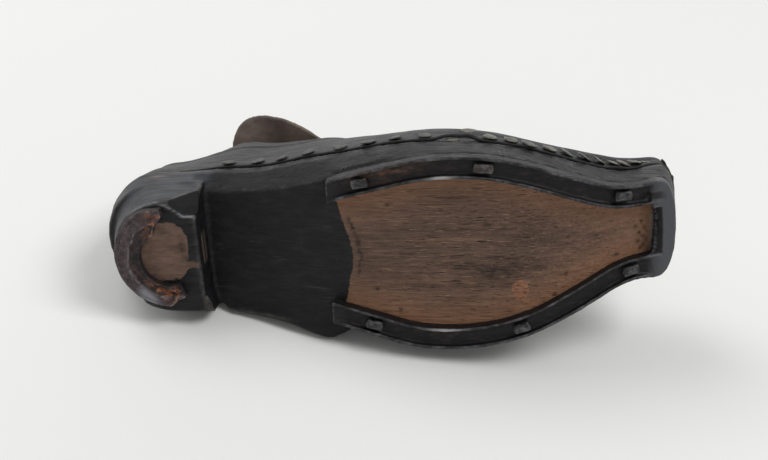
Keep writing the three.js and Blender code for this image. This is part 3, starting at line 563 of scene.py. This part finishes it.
# painted sheen on the side of the heel that faces up
sheen_grey = add(tree, "ValToRGB", broad, stops=((0.35, "2C2D31"), (0.6, "3A3B40")))
black = coat(tree, black, sheen_grey, "heel_side_sheen", 0.8)
black = coat(tree, black, "66666A", scratches, scuffed)
rubbed_patchy = stretched(tree, place, (9, 9, 9), 3, 0.6, (0.4, 0.6, 0.25, 0.8))
black = coat(tree, black, "66635F", "rubbed", rubbed_patchy)
black = coat(tree, black, "6B5B4F", "raw")
# painted shade on the pared flat at the heel's inner front corner
pared = add(tree, "MapRange", product(tree, "pared"), 0.5, 0.56)
flat_cut_shade = add(tree, "ValToRGB", flecks, stops=((0.4, "020203"), (0.62, "0C0C0E")))
black = coat(tree, black, flat_cut_shade, pared, 0.97)
# painted highlight along the bevel of the heel's tread edge
black = coat(tree, black, "8B8C90", "bevel", add(tree, "MapRange", scuffed, 0, 1, 0.6, 1.0))
# painted shade in the joint, the gaps, the torn recess and on the outer waist
black = coat(tree, black, "050505", "painted_shade")
ragged = stretched(tree, place, (3.5, 1.2, 1.2), 4, 0.6, (0.3, 0.7, -0.06, 0.06))
bare_share = add(tree, "Math", product(tree, "bare"), ragged, operation="ADD")
bare_share = add(tree, "MapRange", bare_share, 0.48, 0.53)
shader.inputs["Specular IOR Level"].default_value = 0.28
dull = stretched(tree, place, (12, 6, 6), 4, 0.6, (0.3, 0.7, 0.34, 0.55))
dress(tree, shader, coat(tree, black, worn, bare_share), add(tree, "Mix", bare_share, dull, 0.72),
      (add(tree, "MapRange", cracked, 0, 1, 1, 0), 0.35), (long_grain, 0.9))
sole.data.materials.append(sole_wood)
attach(sole, "root")
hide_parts("wooden_sole")


# The upper is one skin of black waxed leather, lasted over the foot and turned in at
# the topline, which leaves a low fold about 10 mm below its edge. Treading has creased
# the vamp across the ball and drawn small puckers above the tacks.
UPPER_GRAIN = 1.0
TOPLINE = ((-20, 96), (2, 95), (12, 92), (30, 84.8), (50, 79), (70, 78), (90, 79),
           (100, 82), (108, 87.5), (114, 95), (118, 108))
FOLD_BELOW = 10
PUCKER_PITCH = 8.4              # one pucker to a tack
VAMP_CREASES = (
    # x at the ridge, how far its ends sweep forward, depth and half width
    (132, 12, 0.9, 3.0), (143, 16, 1.2, 3.4), (155, 20, 0.8, 3.0), (168, 22, 0.5, 3.2),
)
upper = refined_copy("upper", "lasted_upper", UPPER_GRAIN, 4, sharp=50)
points = shoe_points(upper)
normals = shoe_normals(upper)
x, y, z = points.T
top = np.interp(x, [row[0] for row in TOPLINE], [row[1] for row in TOPLINE])
line = np.interp(x, LINE_X, LINE_Z)
# the turned-in topline shows as a low ridge with a hollow under it
below = np.where(x < 112, top - z, 99)
relief = 0.5 * np.exp(-((below - FOLD_BELOW) / 1.1) ** 2)
relief -= 0.35 * np.exp(-((below - FOLD_BELOW - 2.4) / 1.3) ** 2)
relief += 0.35 * bumps(points, (24, 16, 12), 11) + 0.16 * bumps(points, (8, 6, 5), 12)
for ridge_x, sweep, depth, width in VAMP_CREASES:
    off = x - ridge_x - sweep * (np.abs(y) / 40) ** 2 + 1.5 * bumps(points, (15, 9, 15), 13)
    strength = step(z - line, 8, 20) * step(y, -34, -16)
    relief -= depth * strength * np.exp(-(off / width) ** 2)
    relief += 0.6 * depth * strength * np.exp(-((off - 2 * width) / width) ** 2)
pucker = np.sin(x / PUCKER_PITCH * 2 * math.pi + 2 * bumps(points, (20, 20, 20), 14))
relief += 0.14 * pucker * (1 - step(z - line, 6, 17)) * step(x, 40, 70)
# treading has drawn the inner side in above the tacks
drawn_in = np.exp(-((x - 165) / 42) ** 4) * step(z - line, 4, 11) * (1 - step(z - line, 30, 60))
drawn_in *= 1.8 * step(-y, 10, 25)
# painted shade, near black, in the recess that the torn strip uncovers
torn = np.exp(-((x - 162) / 10) ** 4) * (1 - step(z - line, 2.6, 4.4)) * step(-y, 10, 20)
paint(upper, "torn", torn)
moved = heel_pull(points) + settle(points) + drawn_in[:, None] * (0, 1, 0)
set_points(upper, points + normals * relief[:, None] + moved)
fold = 0.6 * np.exp(-((below - FOLD_BELOW) / 1.2) ** 2)
paint(upper, "rubbed", np.maximum(step(convexity(upper, 1), 0.04, 0.14), fold))
paint(upper, "low", 1 - step(z - line, 5, 16))

# Waxed cowhide: near black, soft sheen, brown where the wax has gone near the tacks.
upper_leather, tree, shader = new_material("black_waxed_leather")
place = shoe_coordinates(tree)
blotch = stretched(tree, place, (26, 18, 18), 5, 0.6)
hide = add(tree, "ValToRGB", blotch, stops=(
    (0.3, "151517"), (0.55, "1F1F21"), (0.75, "2C2A29")))
hide = coat(tree, hide, "6E625A", "rubbed", 0.45)
brown_wear = stretched(tree, place, (14, 6, 6), 5, 0.7, (0.58, 0.7, 0, 0.5))
hide = coat(tree, hide, "5A473C", brown_wear, "low")
# painted shade in the recess behind the torn strip
hide = coat(tree, hide, "040404", "torn")
shader.inputs["Specular IOR Level"].default_value = 0.36
pebble = add(tree, "TexVoronoi", place, 0.9, feature="DISTANCE_TO_EDGE")
cracks = stretched(tree, place, (7, 1.1, 3), 4, 0.6, (0.4, 0.6))
dress(tree, shader, hide, add(tree, "MapRange", blotch, 0.3, 0.7, 0.46, 0.62),
      (cracks, 0.25), (add(tree, "MapRange", pebble, 0, 0.25), 0.07))
upper.data.materials.append(upper_leather)
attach(upper, "root")
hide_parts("upper")


# The tongue is cut from the same hide and shows its brown flesh side where it leans
# back over the opening; its free edge has curled and frayed a little.
tongue = refined_copy("tongue", "leather_tongue", 0.8, 4)
points = shoe_points(tongue)
relief = 0.3 * bumps(points, (12, 9, 9), 21) + 0.1 * bumps(points, (3, 3, 3), 22)
leaning = step(points[:, 0], 112, 84)[:, None] * (-4, -3, 0)
set_points(tongue, points + shoe_normals(tongue) * relief[:, None] + leaning)
paint(tongue, "rim", step(convexity(tongue, 1), 0.05, 0.16))
flesh_leather, tree, shader = new_material("brown_flesh_side_leather")
place = shoe_coordinates(tree)
nap = stretched(tree, place, (2.4, 2.4, 2.4), 6, 0.7)
shade = stretched(tree, place, (16, 12, 12), 4, 0.5)
flesh = add(tree, "ValToRGB", shade, stops=((0.3, "625650"), (0.5, "796A62"), (0.7, "8E7C70")))
flesh = coat(tree, flesh, "4E4540", add(tree, "MapRange", nap, 0.5, 0.75, 0, 0.5))
flesh = coat(tree, flesh, "3A3432", "rim", 0.8)
dress(tree, shader, flesh, 0.82, (nap, 0.2))
tongue.data.materials.append(flesh_leather)
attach(tongue, "root")
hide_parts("tongue")


# The insole is thin brown leather glued into the foot bed, polished dark by wear under
# heel and ball.
insole = refined_copy("insole", "leather_insole", 0.9, 2)
points = shoe_points(insole)
x, y, z = points.T
worn_bed = np.exp(-(((x - 30) / 20) ** 2 + (y / 14) ** 2))
worn_bed += np.exp(-(((x - 170) / 34) ** 2 + (y / 26) ** 2))
paint(insole, "worn", worn_bed)
insole_leather, tree, shader = new_material("tan_insole_leather")
place = shoe_coordinates(tree)
patches = stretched(tree, place, (22, 14, 14), 5, 0.6)
tan = add(tree, "ValToRGB", patches, stops=((0.3, "4C382B"), (0.55, "664B38"), (0.75, "7B5C44")))
tan = coat(tree, tan, "33261F", "worn", 0.7)
hair_cells = stretched(tree, place, (0.8, 0.8, 0.8), 3, 0.6)
dress(tree, shader, tan, add(tree, "MapRange", patches, 0.3, 0.7, 0.55, 0.8), (hair_cells, 0.1))
insole.data.materials.append(insole_leather)
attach(insole, "root")
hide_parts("insole")


# A strip of leather covers the joint of upper and sole. It is torn and lifted in
# places, and flat round tacks hold it, close together round the forepart and wider
# along the waist. Their iron heads have gone dark, with a grey-green bloom in front.
STRIP_T = 1.5
STRIP_H = 6.0
LIFT = 0.5                      # the strip and its tacks start this far above the line
HEEL_DRAWN = 1.2                # round the heel they lie this much closer in
TORN_AT = (163, 8.5)            # middle and half length of the torn place, by x
TORN_LIFT = 3.4
TACK_R = 3.2
TACK_PITCH = 8.4
TACK_PITCH_WAIST = 11
TACKS_SEEN = (59, 73, 84, 97, 112, 124, 136, 149, 161, 168, 177, 185.5, 194, 202, 209.5, 217,
              224, 230, 235.5, 240.5, 245)
rng = random.Random(7)
hide_tree = surface_of("upper")


def wall_spot(centre_x, centre_y, angle):
    """Where the foot of the upper is met on the way in towards a centre, in millimetres."""
    out = Vector((math.cos(angle), math.sin(angle), 0))
    height = 3 + float(np.interp(centre_x + 20 * out.x, LINE_X, LINE_Z))
    start = Vector((centre_x, centre_y, height)) + 90 * out
    hit = hide_tree.ray_cast(shoe_matrix @ start, (rotation @ -out).normalized())[0]
    return shoe_matrix.inverted() @ hit


path = [wall_spot(28, 0, math.pi * (0.5 + k / 30)) for k in range(1, 30)]
path += [wall_spot(x, -2, -math.pi / 2) for x in np.arange(28, 244, 2.5)]
path += [wall_spot(243, -5, math.pi * (-0.5 + k / 40)) for k in range(1, 40)]
path += [wall_spot(x, -2, math.pi / 2) for x in np.arange(243, 27, -2.5)]
path = np.array([(p.x, p.y) for p in path])
for _ in range(4):
    path = (np.roll(path, 1, 0) + 2 * path + np.roll(path, -1, 0)) / 4
runs = np.hypot(*(np.roll(path, -1, 0) - path).T)
length = runs.sum()
marks = np.concatenate([[0], np.cumsum(runs)])
closed = np.vstack([path, path[:1]])


def on_path(distance):
    """Place and outward direction on the line round the foot of the upper."""
    here, near = [np.array([np.interp(d % length, marks, closed[:, k]) for k in (0, 1)])
                  for d in (distance, distance + 1)]
    ahead_dir = (near - here) / np.hypot(*(near - here))
    return Vector((here[0], here[1], 0)), Vector((ahead_dir[1], -ahead_dir[0], 0))


def share_past(value, low, high):
    """0 up to low, 1 from high on, and even between."""
    return min(1, max(0, (value - low) / (high - low)))


strip_shape = bmesh.new()
COUNT = 640
ROWS = (0.0, 0.35, 0.7, 1.0)
loops = []
for share in ROWS:
    loop = []
    for k in range(COUNT):
        spot, out = on_path(k / COUNT * length)
        floor_z = float(np.interp(spot.x, LINE_X, LINE_Z)) + LIFT
        rag = noise.noise(Vector((k * length / COUNT / 3.2, 3.1, 0)))
        tear = noise.noise(Vector((k * length / COUNT / 14, 8.1, 2)))
        lift = max(0, tear - 0.15) * (1.8 if spot.y < 0 and spot.x > 120 else 0.6)
        height = share * (STRIP_H + 0.9 * rag + 0.9 * tear)
        spread = 0.35 + (1 - share) * (0.25 + lift) + 0.15 * rag
        spread -= HEEL_DRAWN * (1 - share_past(spot.x, 42, 58))
        torn = math.exp(-((spot.x - TORN_AT[0]) / TORN_AT[1]) ** 4) if spot.y < 0 else 0
        height += torn * (1 - share) * TORN_LIFT
        spread += torn * (0.9 - 0.5 * share)
        loop.append(strip_shape.verts.new(spot + out * spread + Vector((0, 0, floor_z + height))))
    loops.append(loop)
for low, high in zip(loops, loops[1:]):
    low_edges = []
    for k in range(COUNT):
        ends = low[k - 1], low[k]
        low_edges.append(strip_shape.edges.get(ends) or strip_shape.edges.new(ends))
    high_edges = [strip_shape.edges.new((high[k - 1], high[k])) for k in range(COUNT)]
    bmesh.ops.bridge_loops(strip_shape, edges=low_edges + high_edges)
bmesh.ops.recalc_face_normals(strip_shape, faces=strip_shape.faces)
strip_shape.transform(shoe_matrix)
strip = new_piece(strip_shape, "leather_strip")
wall = strip.modifiers.new("wall", "SOLIDIFY")
wall.thickness = STRIP_T * MM
wall.offset = 1
bevel = strip.modifiers.new("worn_edges", "BEVEL")
bevel.width = 0.4 * MM
bevel.segments = 2
bevel.limit_method = "ANGLE"
set_points(strip, shoe_points(strip) + settle(shoe_points(strip)))
# painted shade: the lower rows of the strip, under the tacks, are painted near black
paint(strip, "low_edge_shade", np.repeat((1.0, 0.75, 0.0, 0.0), COUNT))
strip.data.shade_smooth()
strip_leather, tree, shader = new_material("cracked_black_strap_leather")
place = shoe_coordinates(tree)
dirt = stretched(tree, place, (6, 6, 4), 6, 0.65)
strap = add(tree, "ValToRGB", dirt, stops=((0.35, "151515"), (0.55, "232221"), (0.75, "3A3631")))
# painted shade under the tacks
strap = coat(tree, strap, "060606", "low_edge_shade", 0.85)
dress(tree, shader, strap, add(tree, "MapRange", dirt, 0.3, 0.7, 0.5, 0.75), (dirt, 0.5))
strip.data.materials.append(strip_leather)
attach(strip, "root")
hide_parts("welt_and_tacks")

# tacks at the places seen along the inner side, and at even distances elsewhere
distances = np.arange(0, length, 1.0)
places = [on_path(d)[0] for d in distances]
inner = [d for d, p in zip(distances, places) if p.y < -5 and 56 < p.x < 246]
tack_spots = [min(inner, key=lambda d: abs(on_path(d)[0].x - seen)) for seen in TACKS_SEEN]
first, last = min(tack_spots), max(tack_spots)
spot_at = last + TACK_PITCH
while spot_at < first + length - TACK_PITCH / 2:
    if on_path(spot_at)[0].y > 4 or on_path(spot_at)[0].x > 200:
        tack_spots.append(spot_at)
    spot_at += TACK_PITCH if on_path(spot_at)[0].x > 107 else TACK_PITCH_WAIST
# two tacks have come loose where the strip is torn: one stands up, one has sunk in
sunk, torn_off = [tack_spots[TACKS_SEEN.index(seen)] for seen in (161, 168)]
heads = bmesh.new()
sky = Vector((0, 0, 1))
for distance in tack_spots:
    spot, out = on_path(distance)
    floor_z = float(np.interp(spot.x, LINE_X, LINE_Z)) + LIFT
    head = bmesh.ops.create_uvsphere(heads, u_segments=18, v_segments=8, radius=TACK_R)["verts"]
    size = rng.uniform(0.92, 1.1) * (1.1 if spot.x > 150 else 1)
    for vert in head:
        rise = vert.co.z / TACK_R
        vert.co.z = (0.5 if rise > 0 else 0.35) * rise
        wobble = noise.noise(vert.co * 0.45 + Vector((distance, 0, 0)))
        vert.co.xy = vert.co.xy * size * (1 + 0.1 * wobble)
        vert.co.z += 0.3 * wobble
    at_toe = share_past(spot.x, 195, 215)
    lift = rng.uniform(-0.14, 0.02) - 0.2 * at_toe
    shingle = rng.uniform(-0.05, 0.12) + 0.2 * at_toe
    lean = Matrix.Rotation(lift, 4, "X") @ Matrix.Rotation(shingle, 4, "Y")
    facing = Matrix((-out.cross(sky), sky, out)).transposed().to_4x4()
    height = STRIP_H * (rng.uniform(0.52, 0.64) + 0.26 * at_toe)
    proud = 0.35 + STRIP_T + 0.75 - HEEL_DRAWN * (1 - share_past(spot.x, 42, 58))
    proud -= 1.5 * share_past(spot.x, 242, 245)
    if abs(distance - torn_off) < 0.5:
        height += TORN_LIFT
        proud += 0.9
    elif abs(distance - sunk) < 0.5:
        height -= 1.4
        proud -= 1.6
    seat = spot + out * proud + sky * (floor_z + height)
    seated = shoe_matrix @ Matrix.Translation(seat) @ facing @ lean
    bmesh.ops.transform(heads, verts=head, matrix=seated)
bmesh.ops.recalc_face_normals(heads, faces=heads.faces)
tacks = new_piece(heads, "tack_heads")
tacks.data.shade_smooth()
points = shoe_points(tacks)
paint(tacks, "bloom", step(points[:, 0], 135, 165))
set_points(tacks, points + settle(points))
tack_iron, tree, shader = new_material("darkened_iron_tacks_with_bloom")
place = shoe_coordinates(tree)
spots = stretched(tree, place, (3, 3, 3), 5, 0.6)
dark_head = add(tree, "ValToRGB", spots, stops=(
    (0.35, "211F1F"), (0.6, "393633"), (0.8, "4E4942")))
grey_head = add(tree, "ValToRGB", spots, stops=(
    (0.3, "2E2D29"), (0.5, "55524A"), (0.72, "746F63")))
verdigris = stretched(tree, place, (9, 9, 9), 3, 0.6, (0.5, 0.62, 0, 0.6))
green_head = coat(tree, grey_head, "4F5A4C", verdigris)
shader.inputs["Metallic"].default_value = 0.35
dress(tree, shader, coat(tree, dark_head, green_head, "bloom"), 0.5, (spots, 0.25))
tacks.data.materials.append(tack_iron)
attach(tacks, "root")


# The forepart iron is a forged bar of U shape, grooved along both arms for its nails
# and plain across the toe. Treading has rounded and polished its two ridges; the groove
# is dirty, with rust towards the back of the inner arm.
IRON_GRAIN = 0.45
SPARE_HOLE = (247.4, -20.6)
fore_iron = refined_copy("forepart_iron", "grooved_forepart_iron", IRON_GRAIN, 2, levels=1)
points = shoe_points(fore_iron)
normals = shoe_normals(fore_iron)
x, y, z = points.T
relief = 0.14 * bumps(points, (9, 6, 6), 31) + 0.09 * bumps(points, (2.6, 1.6, 1.6), 32)
chipped = step(convexity(fore_iron, 2), 0.02, 0.08) * step(bumps(points, (5, 5, 5), 33), 0.05, 0.5)
relief -= 0.35 * chipped
# across the toe the bar is hollow behind its thick rolled front
faces_down = step(-normals[:, 2], 0.25, 0.6)
hollow = (1 - step(x, 250.9, 251.8)) * step(x, TOE_BAR[0], TOE_BAR[0] + 1)
hollow *= 1 - step(np.abs(y + 4.6), 10.2, 11.2)
relief -= (0.6 + 0.75 * np.clip(251.5 - x, 0, 3)) * hollow * faces_down
# a spare nail hole ends the groove at the inner side of the toe
spare = np.exp(-(((x - SPARE_HOLE[0]) / 4.9) ** 4 + ((y - SPARE_HOLE[1]) / 2.0) ** 4))
spare *= step(-normals[:, 2], 0.1, 0.4)
relief -= 1.2 * spare
set_points(fore_iron, points + normals * relief[:, None] + toe_push(points))
edge = convexity(fore_iron, 1)
height = z - underneath(x) + IRON_T
deep_shade_and_dirt = step(height, 0.9, 1.7) * faces_down
# two places where treading has worn the ridges bright
worn_through = np.exp(-(((x - 157) / 5) ** 2 + ((y + 37.5) / 2.5) ** 4))
worn_through += np.exp(-(((x - 157) / 8) ** 2 + ((y - 36.4) / 2.5) ** 4))
paint(fore_iron, "rubbed", step(edge, 0.012, 0.06) * faces_down)
paint(fore_iron, "bright", worn_through * step(edge, 0.0, 0.03) * faces_down)
# painted shade and dirt in the groove, and painted shade in the toe's hollow and the spare hole
paint(fore_iron, "deep_shade_and_dirt", np.maximum(deep_shade_and_dirt, np.maximum(hollow, spare) * faces_down))
back_of_inner = np.exp(-((x - 134) / 15) ** 2) * step(-y, 0, 10)
groove_y = np.interp(x, (108, 120, 135, 150, 160), (27.5, 31, 34.5, 36.6, 37.2))
groove_side = step(np.abs(y - MIDLINE) - groove_y, -1, 3)
paint(fore_iron, "rust", back_of_inner * np.maximum(0.25 * deep_shade_and_dirt, groove_side * faces_down))
# painted light: the face of the toe bar is painted lighter grey, as where it is lit
paint(fore_iron, "toe_bar_lit", step(x, 243, 252) * (1 - hollow))
shaded = (1 - faces_down) * (1 - step(height, 0.9, 1.6)) * (1 - step(x, 236, 246))
paint(fore_iron, "shaded", shaded)
# Forged iron: blackened, rubbed grey on the ridges, with dirt, wax and rust in the groove. Painted
# shade darkens the groove, the hollow behind the toe bar, the spare hole and the sides next to the
# tread face; the face of the toe bar is painted lighter grey: painted light.
forged_iron, tree, shader = new_material("forged_iron_worn_and_rusted")
place = shoe_coordinates(tree)
scale_noise = stretched(tree, place, (7, 4, 4), 6, 0.65)
iron = add(tree, "ValToRGB", scale_noise, stops=(
    (0.3, "0E0E0F"), (0.55, "171618"), (0.78, "29282B")))
# painted light on the face of the toe bar
iron = coat(tree, iron, "606166", "toe_bar_lit", 0.6)
# painted shade and dirt, near black, in the deep places
iron = coat(tree, iron, "090808", "deep_shade_and_dirt", 0.8)
old_wax = stretched(tree, place, (6, 3, 3), 4, 0.6, (0.52, 0.66, 0, 0.7))
iron = coat(tree, iron, "2B2024", old_wax, "deep_shade_and_dirt")
rust_noise = stretched(tree, place, (5, 2.2, 2.2), 6, 0.7)
rust_share = product(tree, add(tree, "MapRange", rust_noise, 0.36, 0.56), "rust")
rust_tone = add(tree, "ValToRGB", rust_noise, stops=(
    (0.35, "1C120E"), (0.5, "3E271B"), (0.66, "6B4529")))
iron = coat(tree, iron, rust_tone, rust_share)
iron = coat(tree, iron, "0A0909", "shaded", 0.85)
broken = stretched(tree, place, (8, 8, 8), 4, 0.65, (0.4, 0.6, 0.08, 0.75))
iron = coat(tree, iron, "6A686C", "rubbed", broken)
iron = coat(tree, iron, "A9A7A6", "bright")
put(tree, shader.inputs["Metallic"], add(tree, "MapRange", rust_share, 0, 1, 0.4, 0.1))
dress(tree, shader, iron, add(tree, "MapRange", scale_noise, 0.3, 0.7, 0.42, 0.62),
      (scale_noise, 0.5), (rust_noise, 0.35))
fore_iron.data.materials.append(forged_iron)
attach(fore_iron, "root")
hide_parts("forepart_iron")


# The heel iron is a small forged horseshoe round the bare plug of the heel, eaten by
# rust: orange in the hollows, purple-grey where it is rubbed, bright at one worn spot.
IRON_CENTRE = (35.6, 1.5)


def patch(points, place, size):
    """1 at a place on the tread, falling off within about a size in millimetres."""
    return np.exp(-((points[:, 0] - place[0]) ** 2 + (points[:, 1] - place[1]) ** 2) / size ** 2)


heel_iron = refined_copy("heel_iron", "rusted_heel_iron", 0.4, 2, levels=1)
points = shoe_points(heel_iron)
normals = shoe_normals(heel_iron)
x, y, z = points.T
radius = np.hypot(x - IRON_CENTRE[0], y - IRON_CENTRE[1])
around = np.arctan2(y - IRON_CENTRE[1], x - IRON_CENTRE[0])
ragged = bumps(points, (4, 4, 9), 43)
rim = step(radius + 0.7 * ragged, 17.2, 18.0)
tread_face = step(-normals[:, 2], 0.3, 0.6) * (1 - step(z, 2.4, 3.0))
scabs = bumps(points, (5, 5, 9), 41)
flaking = bumps(points, (1.7, 1.7, 6), 42)
arm_ends = patch(points, (33, -18), 6.32) + patch(points, (38, 19), 5.83)
# height of the eaten tread face over the plane it stood on
level = 0.1 + 1.35 * (1 - rim) - 0.55 * (1 - step(radius, 13.3, 14.4))
level += (0.15 + 0.4 * (1 - rim) + 0.5 * arm_ends) * scabs
level += (0.1 + 0.3 * (1 - rim) + 0.35 * arm_ends) * flaking
level += 1.6 * patch(points, (35.6, 19.6), 1.79)
level = np.clip(level, 0, 3.2)
skin = points + normals * (0.25 * scabs + 0.12 * flaking)[:, None]
skin[:, 2] = np.where(tread_face > 0, z + (level - z) * tread_face, skin[:, 2])
# the inner arm has wasted away to a slant, and its outer edge has drawn in
past_slant = ((x - 27.5) * 13.6 + (y + 9.2) * 7.1) / 15.3
slant = step(past_slant + 1.3 * scabs + 0.6 * flaking, 0.2, 1.3) * step(-y, 4, 8)
past_end = np.maximum((x - 41.9) * 0.62 + (y - 19.1) * 0.78, x - 42.4)
slant = np.maximum(slant, step(past_end + 0.8 * scabs + 0.5 * flaking, 0, 1) * step(y, 8, 12))
skin[:, 2] += slant * np.clip(5.2 - skin[:, 2], 0, None)
skin[:, 1] += 1.5 * step(radius, 19, 22) * step(x, 22, 32) * step(-y, 5, 14)
set_points(heel_iron, skin)
paint(heel_iron, "rubbed", step(convexity(heel_iron, 1), 0.01, 0.06) * tread_face)
along_arm = (x - 25.5) * 0.72 + (y - 19.2) * 0.69
across_arm = (y - 19.2) * 0.72 - (x - 25.5) * 0.69
# one spot on the outer arm is worn bright
bright = np.exp(-((along_arm / 5) ** 4 + (across_arm / 2.2) ** 4))
paint(heel_iron, "bright", bright * tread_face)
paint(heel_iron, "rim", rim * tread_face)
orange = patch(points, (29, -11.5), 4.69) + patch(points, (31, -19), 4)
orange += 1.2 * patch(points, (37.5, 19.3), 4) + 0.7 * patch(points, (31, 14.5), 3.46)
orange += 0.5 * np.exp(-((radius - 15.5) / 1.4) ** 2) * step(y, 2, 8)
paint(heel_iron, "orange", orange * tread_face * (1 - 0.6 * slant))
# painted shade: the inner wall of the iron round the plug is painted near black
paint(heel_iron, "wall", (1 - tread_face) * (1 - step(radius, 13.6, 15)))
rusted_iron, tree, shader = new_material("rusted_forged_iron")
place = shoe_coordinates(tree)
flakes = stretched(tree, place, (3.2, 3.2, 3.2), 7, 0.7)
rust = add(tree, "ValToRGB", flakes, stops=((0.36, "120F10"), (0.5, "2D2324"), (0.66, "564745")))
rim_rust = add(tree, "ValToRGB", flakes, stops=(
    (0.36, "2E2527"), (0.5, "4C4044"), (0.66, "675A5B")))
orange_rust = add(tree, "ValToRGB", flakes, stops=(
    (0.34, "1E1412"), (0.46, "4B2A1A"), (0.56, "85502F"), (0.68, "B98460")))
rust = coat(tree, rust, rim_rust, "rim", 0.75)
lumps = stretched(tree, place, (2.2, 2.2, 2.2), 5, 0.65)
orange_share = product(tree, "orange", add(tree, "MapRange", lumps, 0.42, 0.6, 0.05, 1))
rust = coat(tree, rust, orange_rust, add(tree, "MapRange", orange_share, 0.12, 0.6))
rust = coat(tree, rust, "8B8180", "rubbed", add(tree, "MapRange", lumps, 0.45, 0.6, 0.05, 0.7))
# painted shade on the inner wall round the plug
rust = coat(tree, rust, "120D0C", "wall", 0.85)
rust = coat(tree, rust, "8F8F94", "bright")
metallic = add(tree, "MapRange", product(tree, "bright"), 0, 1, 0.15, 0.8)
put(tree, shader.inputs["Metallic"], metallic)
dress(tree, shader, rust, add(tree, "MapRange", flakes, 0.3, 0.7, 0.55, 0.85), (flakes, 0.9))
heel_iron.data.materials.append(rusted_iron)
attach(heel_iron, "root")
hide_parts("heel_iron")


# Six wrought nails with oblong heads sit in the groove of the forepart iron, hammered
# slightly round and worn with it.
NAIL_BEVEL = 0.9
nail_iron, tree, shader = new_material("wrought_nail_iron")
place = shoe_coordinates(tree)
hammered = stretched(tree, place, (3, 3, 3), 4, 0.6)
nail_colour = add(tree, "ValToRGB", hammered, stops=(
    (0.3, "0F0F10"), (0.6, "1A191A"), (0.8, "29282A")))
nail_colour = coat(tree, nail_colour, "3A2B26", "brown", 0.8)
uneven = add(tree, "MapRange", hammered, 0.42, 0.6, 0.05, 0.6)
nail_colour = coat(tree, nail_colour, "6C6A6C", "rubbed", uneven)
shader.inputs["Metallic"].default_value = 0.3
dress(tree, shader, nail_colour, 0.48, (hammered, 0.4))
for node in sorted(name for name in frame["nodes"] if name.startswith("nail_")):
    shape = bmesh.new()
    shape.from_mesh(frame["nodes"][node].data)
    bmesh.ops.remove_doubles(shape, verts=shape.verts, dist=2e-6)
    bmesh.ops.dissolve_limit(
        shape, angle_limit=math.radians(2), verts=shape.verts, edges=shape.edges,
    )
    bmesh.ops.bevel(
        shape, geom=shape.edges, offset=NAIL_BEVEL * MM, segments=3, profile=0.5, material=-1,
        affect="EDGES",
    )
    bmesh.ops.subdivide_edges(shape, edges=shape.edges, cuts=2, use_grid_fill=True)
    nail = new_piece(shape, node + "_head")
    nail.data.shade_smooth()
    points = shoe_points(nail)
    from_middle = points - points.mean(0)
    outer_face = step(-shoe_normals(nail)[:, 2], 0.0, 0.6)
    reach = np.hypot(*from_middle[:, :2].T)
    relief = 0.3 * bumps(points, (2.5, 2.5, 2.5), 51)
    skin = points + shoe_normals(nail) * relief[:, None]
    skin[:, 2] -= 0.9 * outer_face
    skin[:, :2] -= 0.22 * from_middle[:, :2] * step(reach, 3.4, 5)[:, None]
    waisted = np.exp(-(from_middle[:, 0] / 1.8) ** 2)
    skin[:, 1] -= (0.02 + 0.22 * waisted) * from_middle[:, 1]
    if "medial_middle" in node:
        skin[:, 0] += 0.16 * from_middle[:, 0] + 1.3
    if "medial_toe" in node:
        skin[:, 1] -= 0.9
    set_points(nail, skin)
    paint(nail, "rubbed", step(convexity(nail, 1), 0.02, 0.06))
    paint(nail, "brown", np.full(len(points), 0.8 if "medial_middle" in node else 0.1))
    nail.data.materials.append(nail_iron)
    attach(nail, "root")
    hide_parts(node)
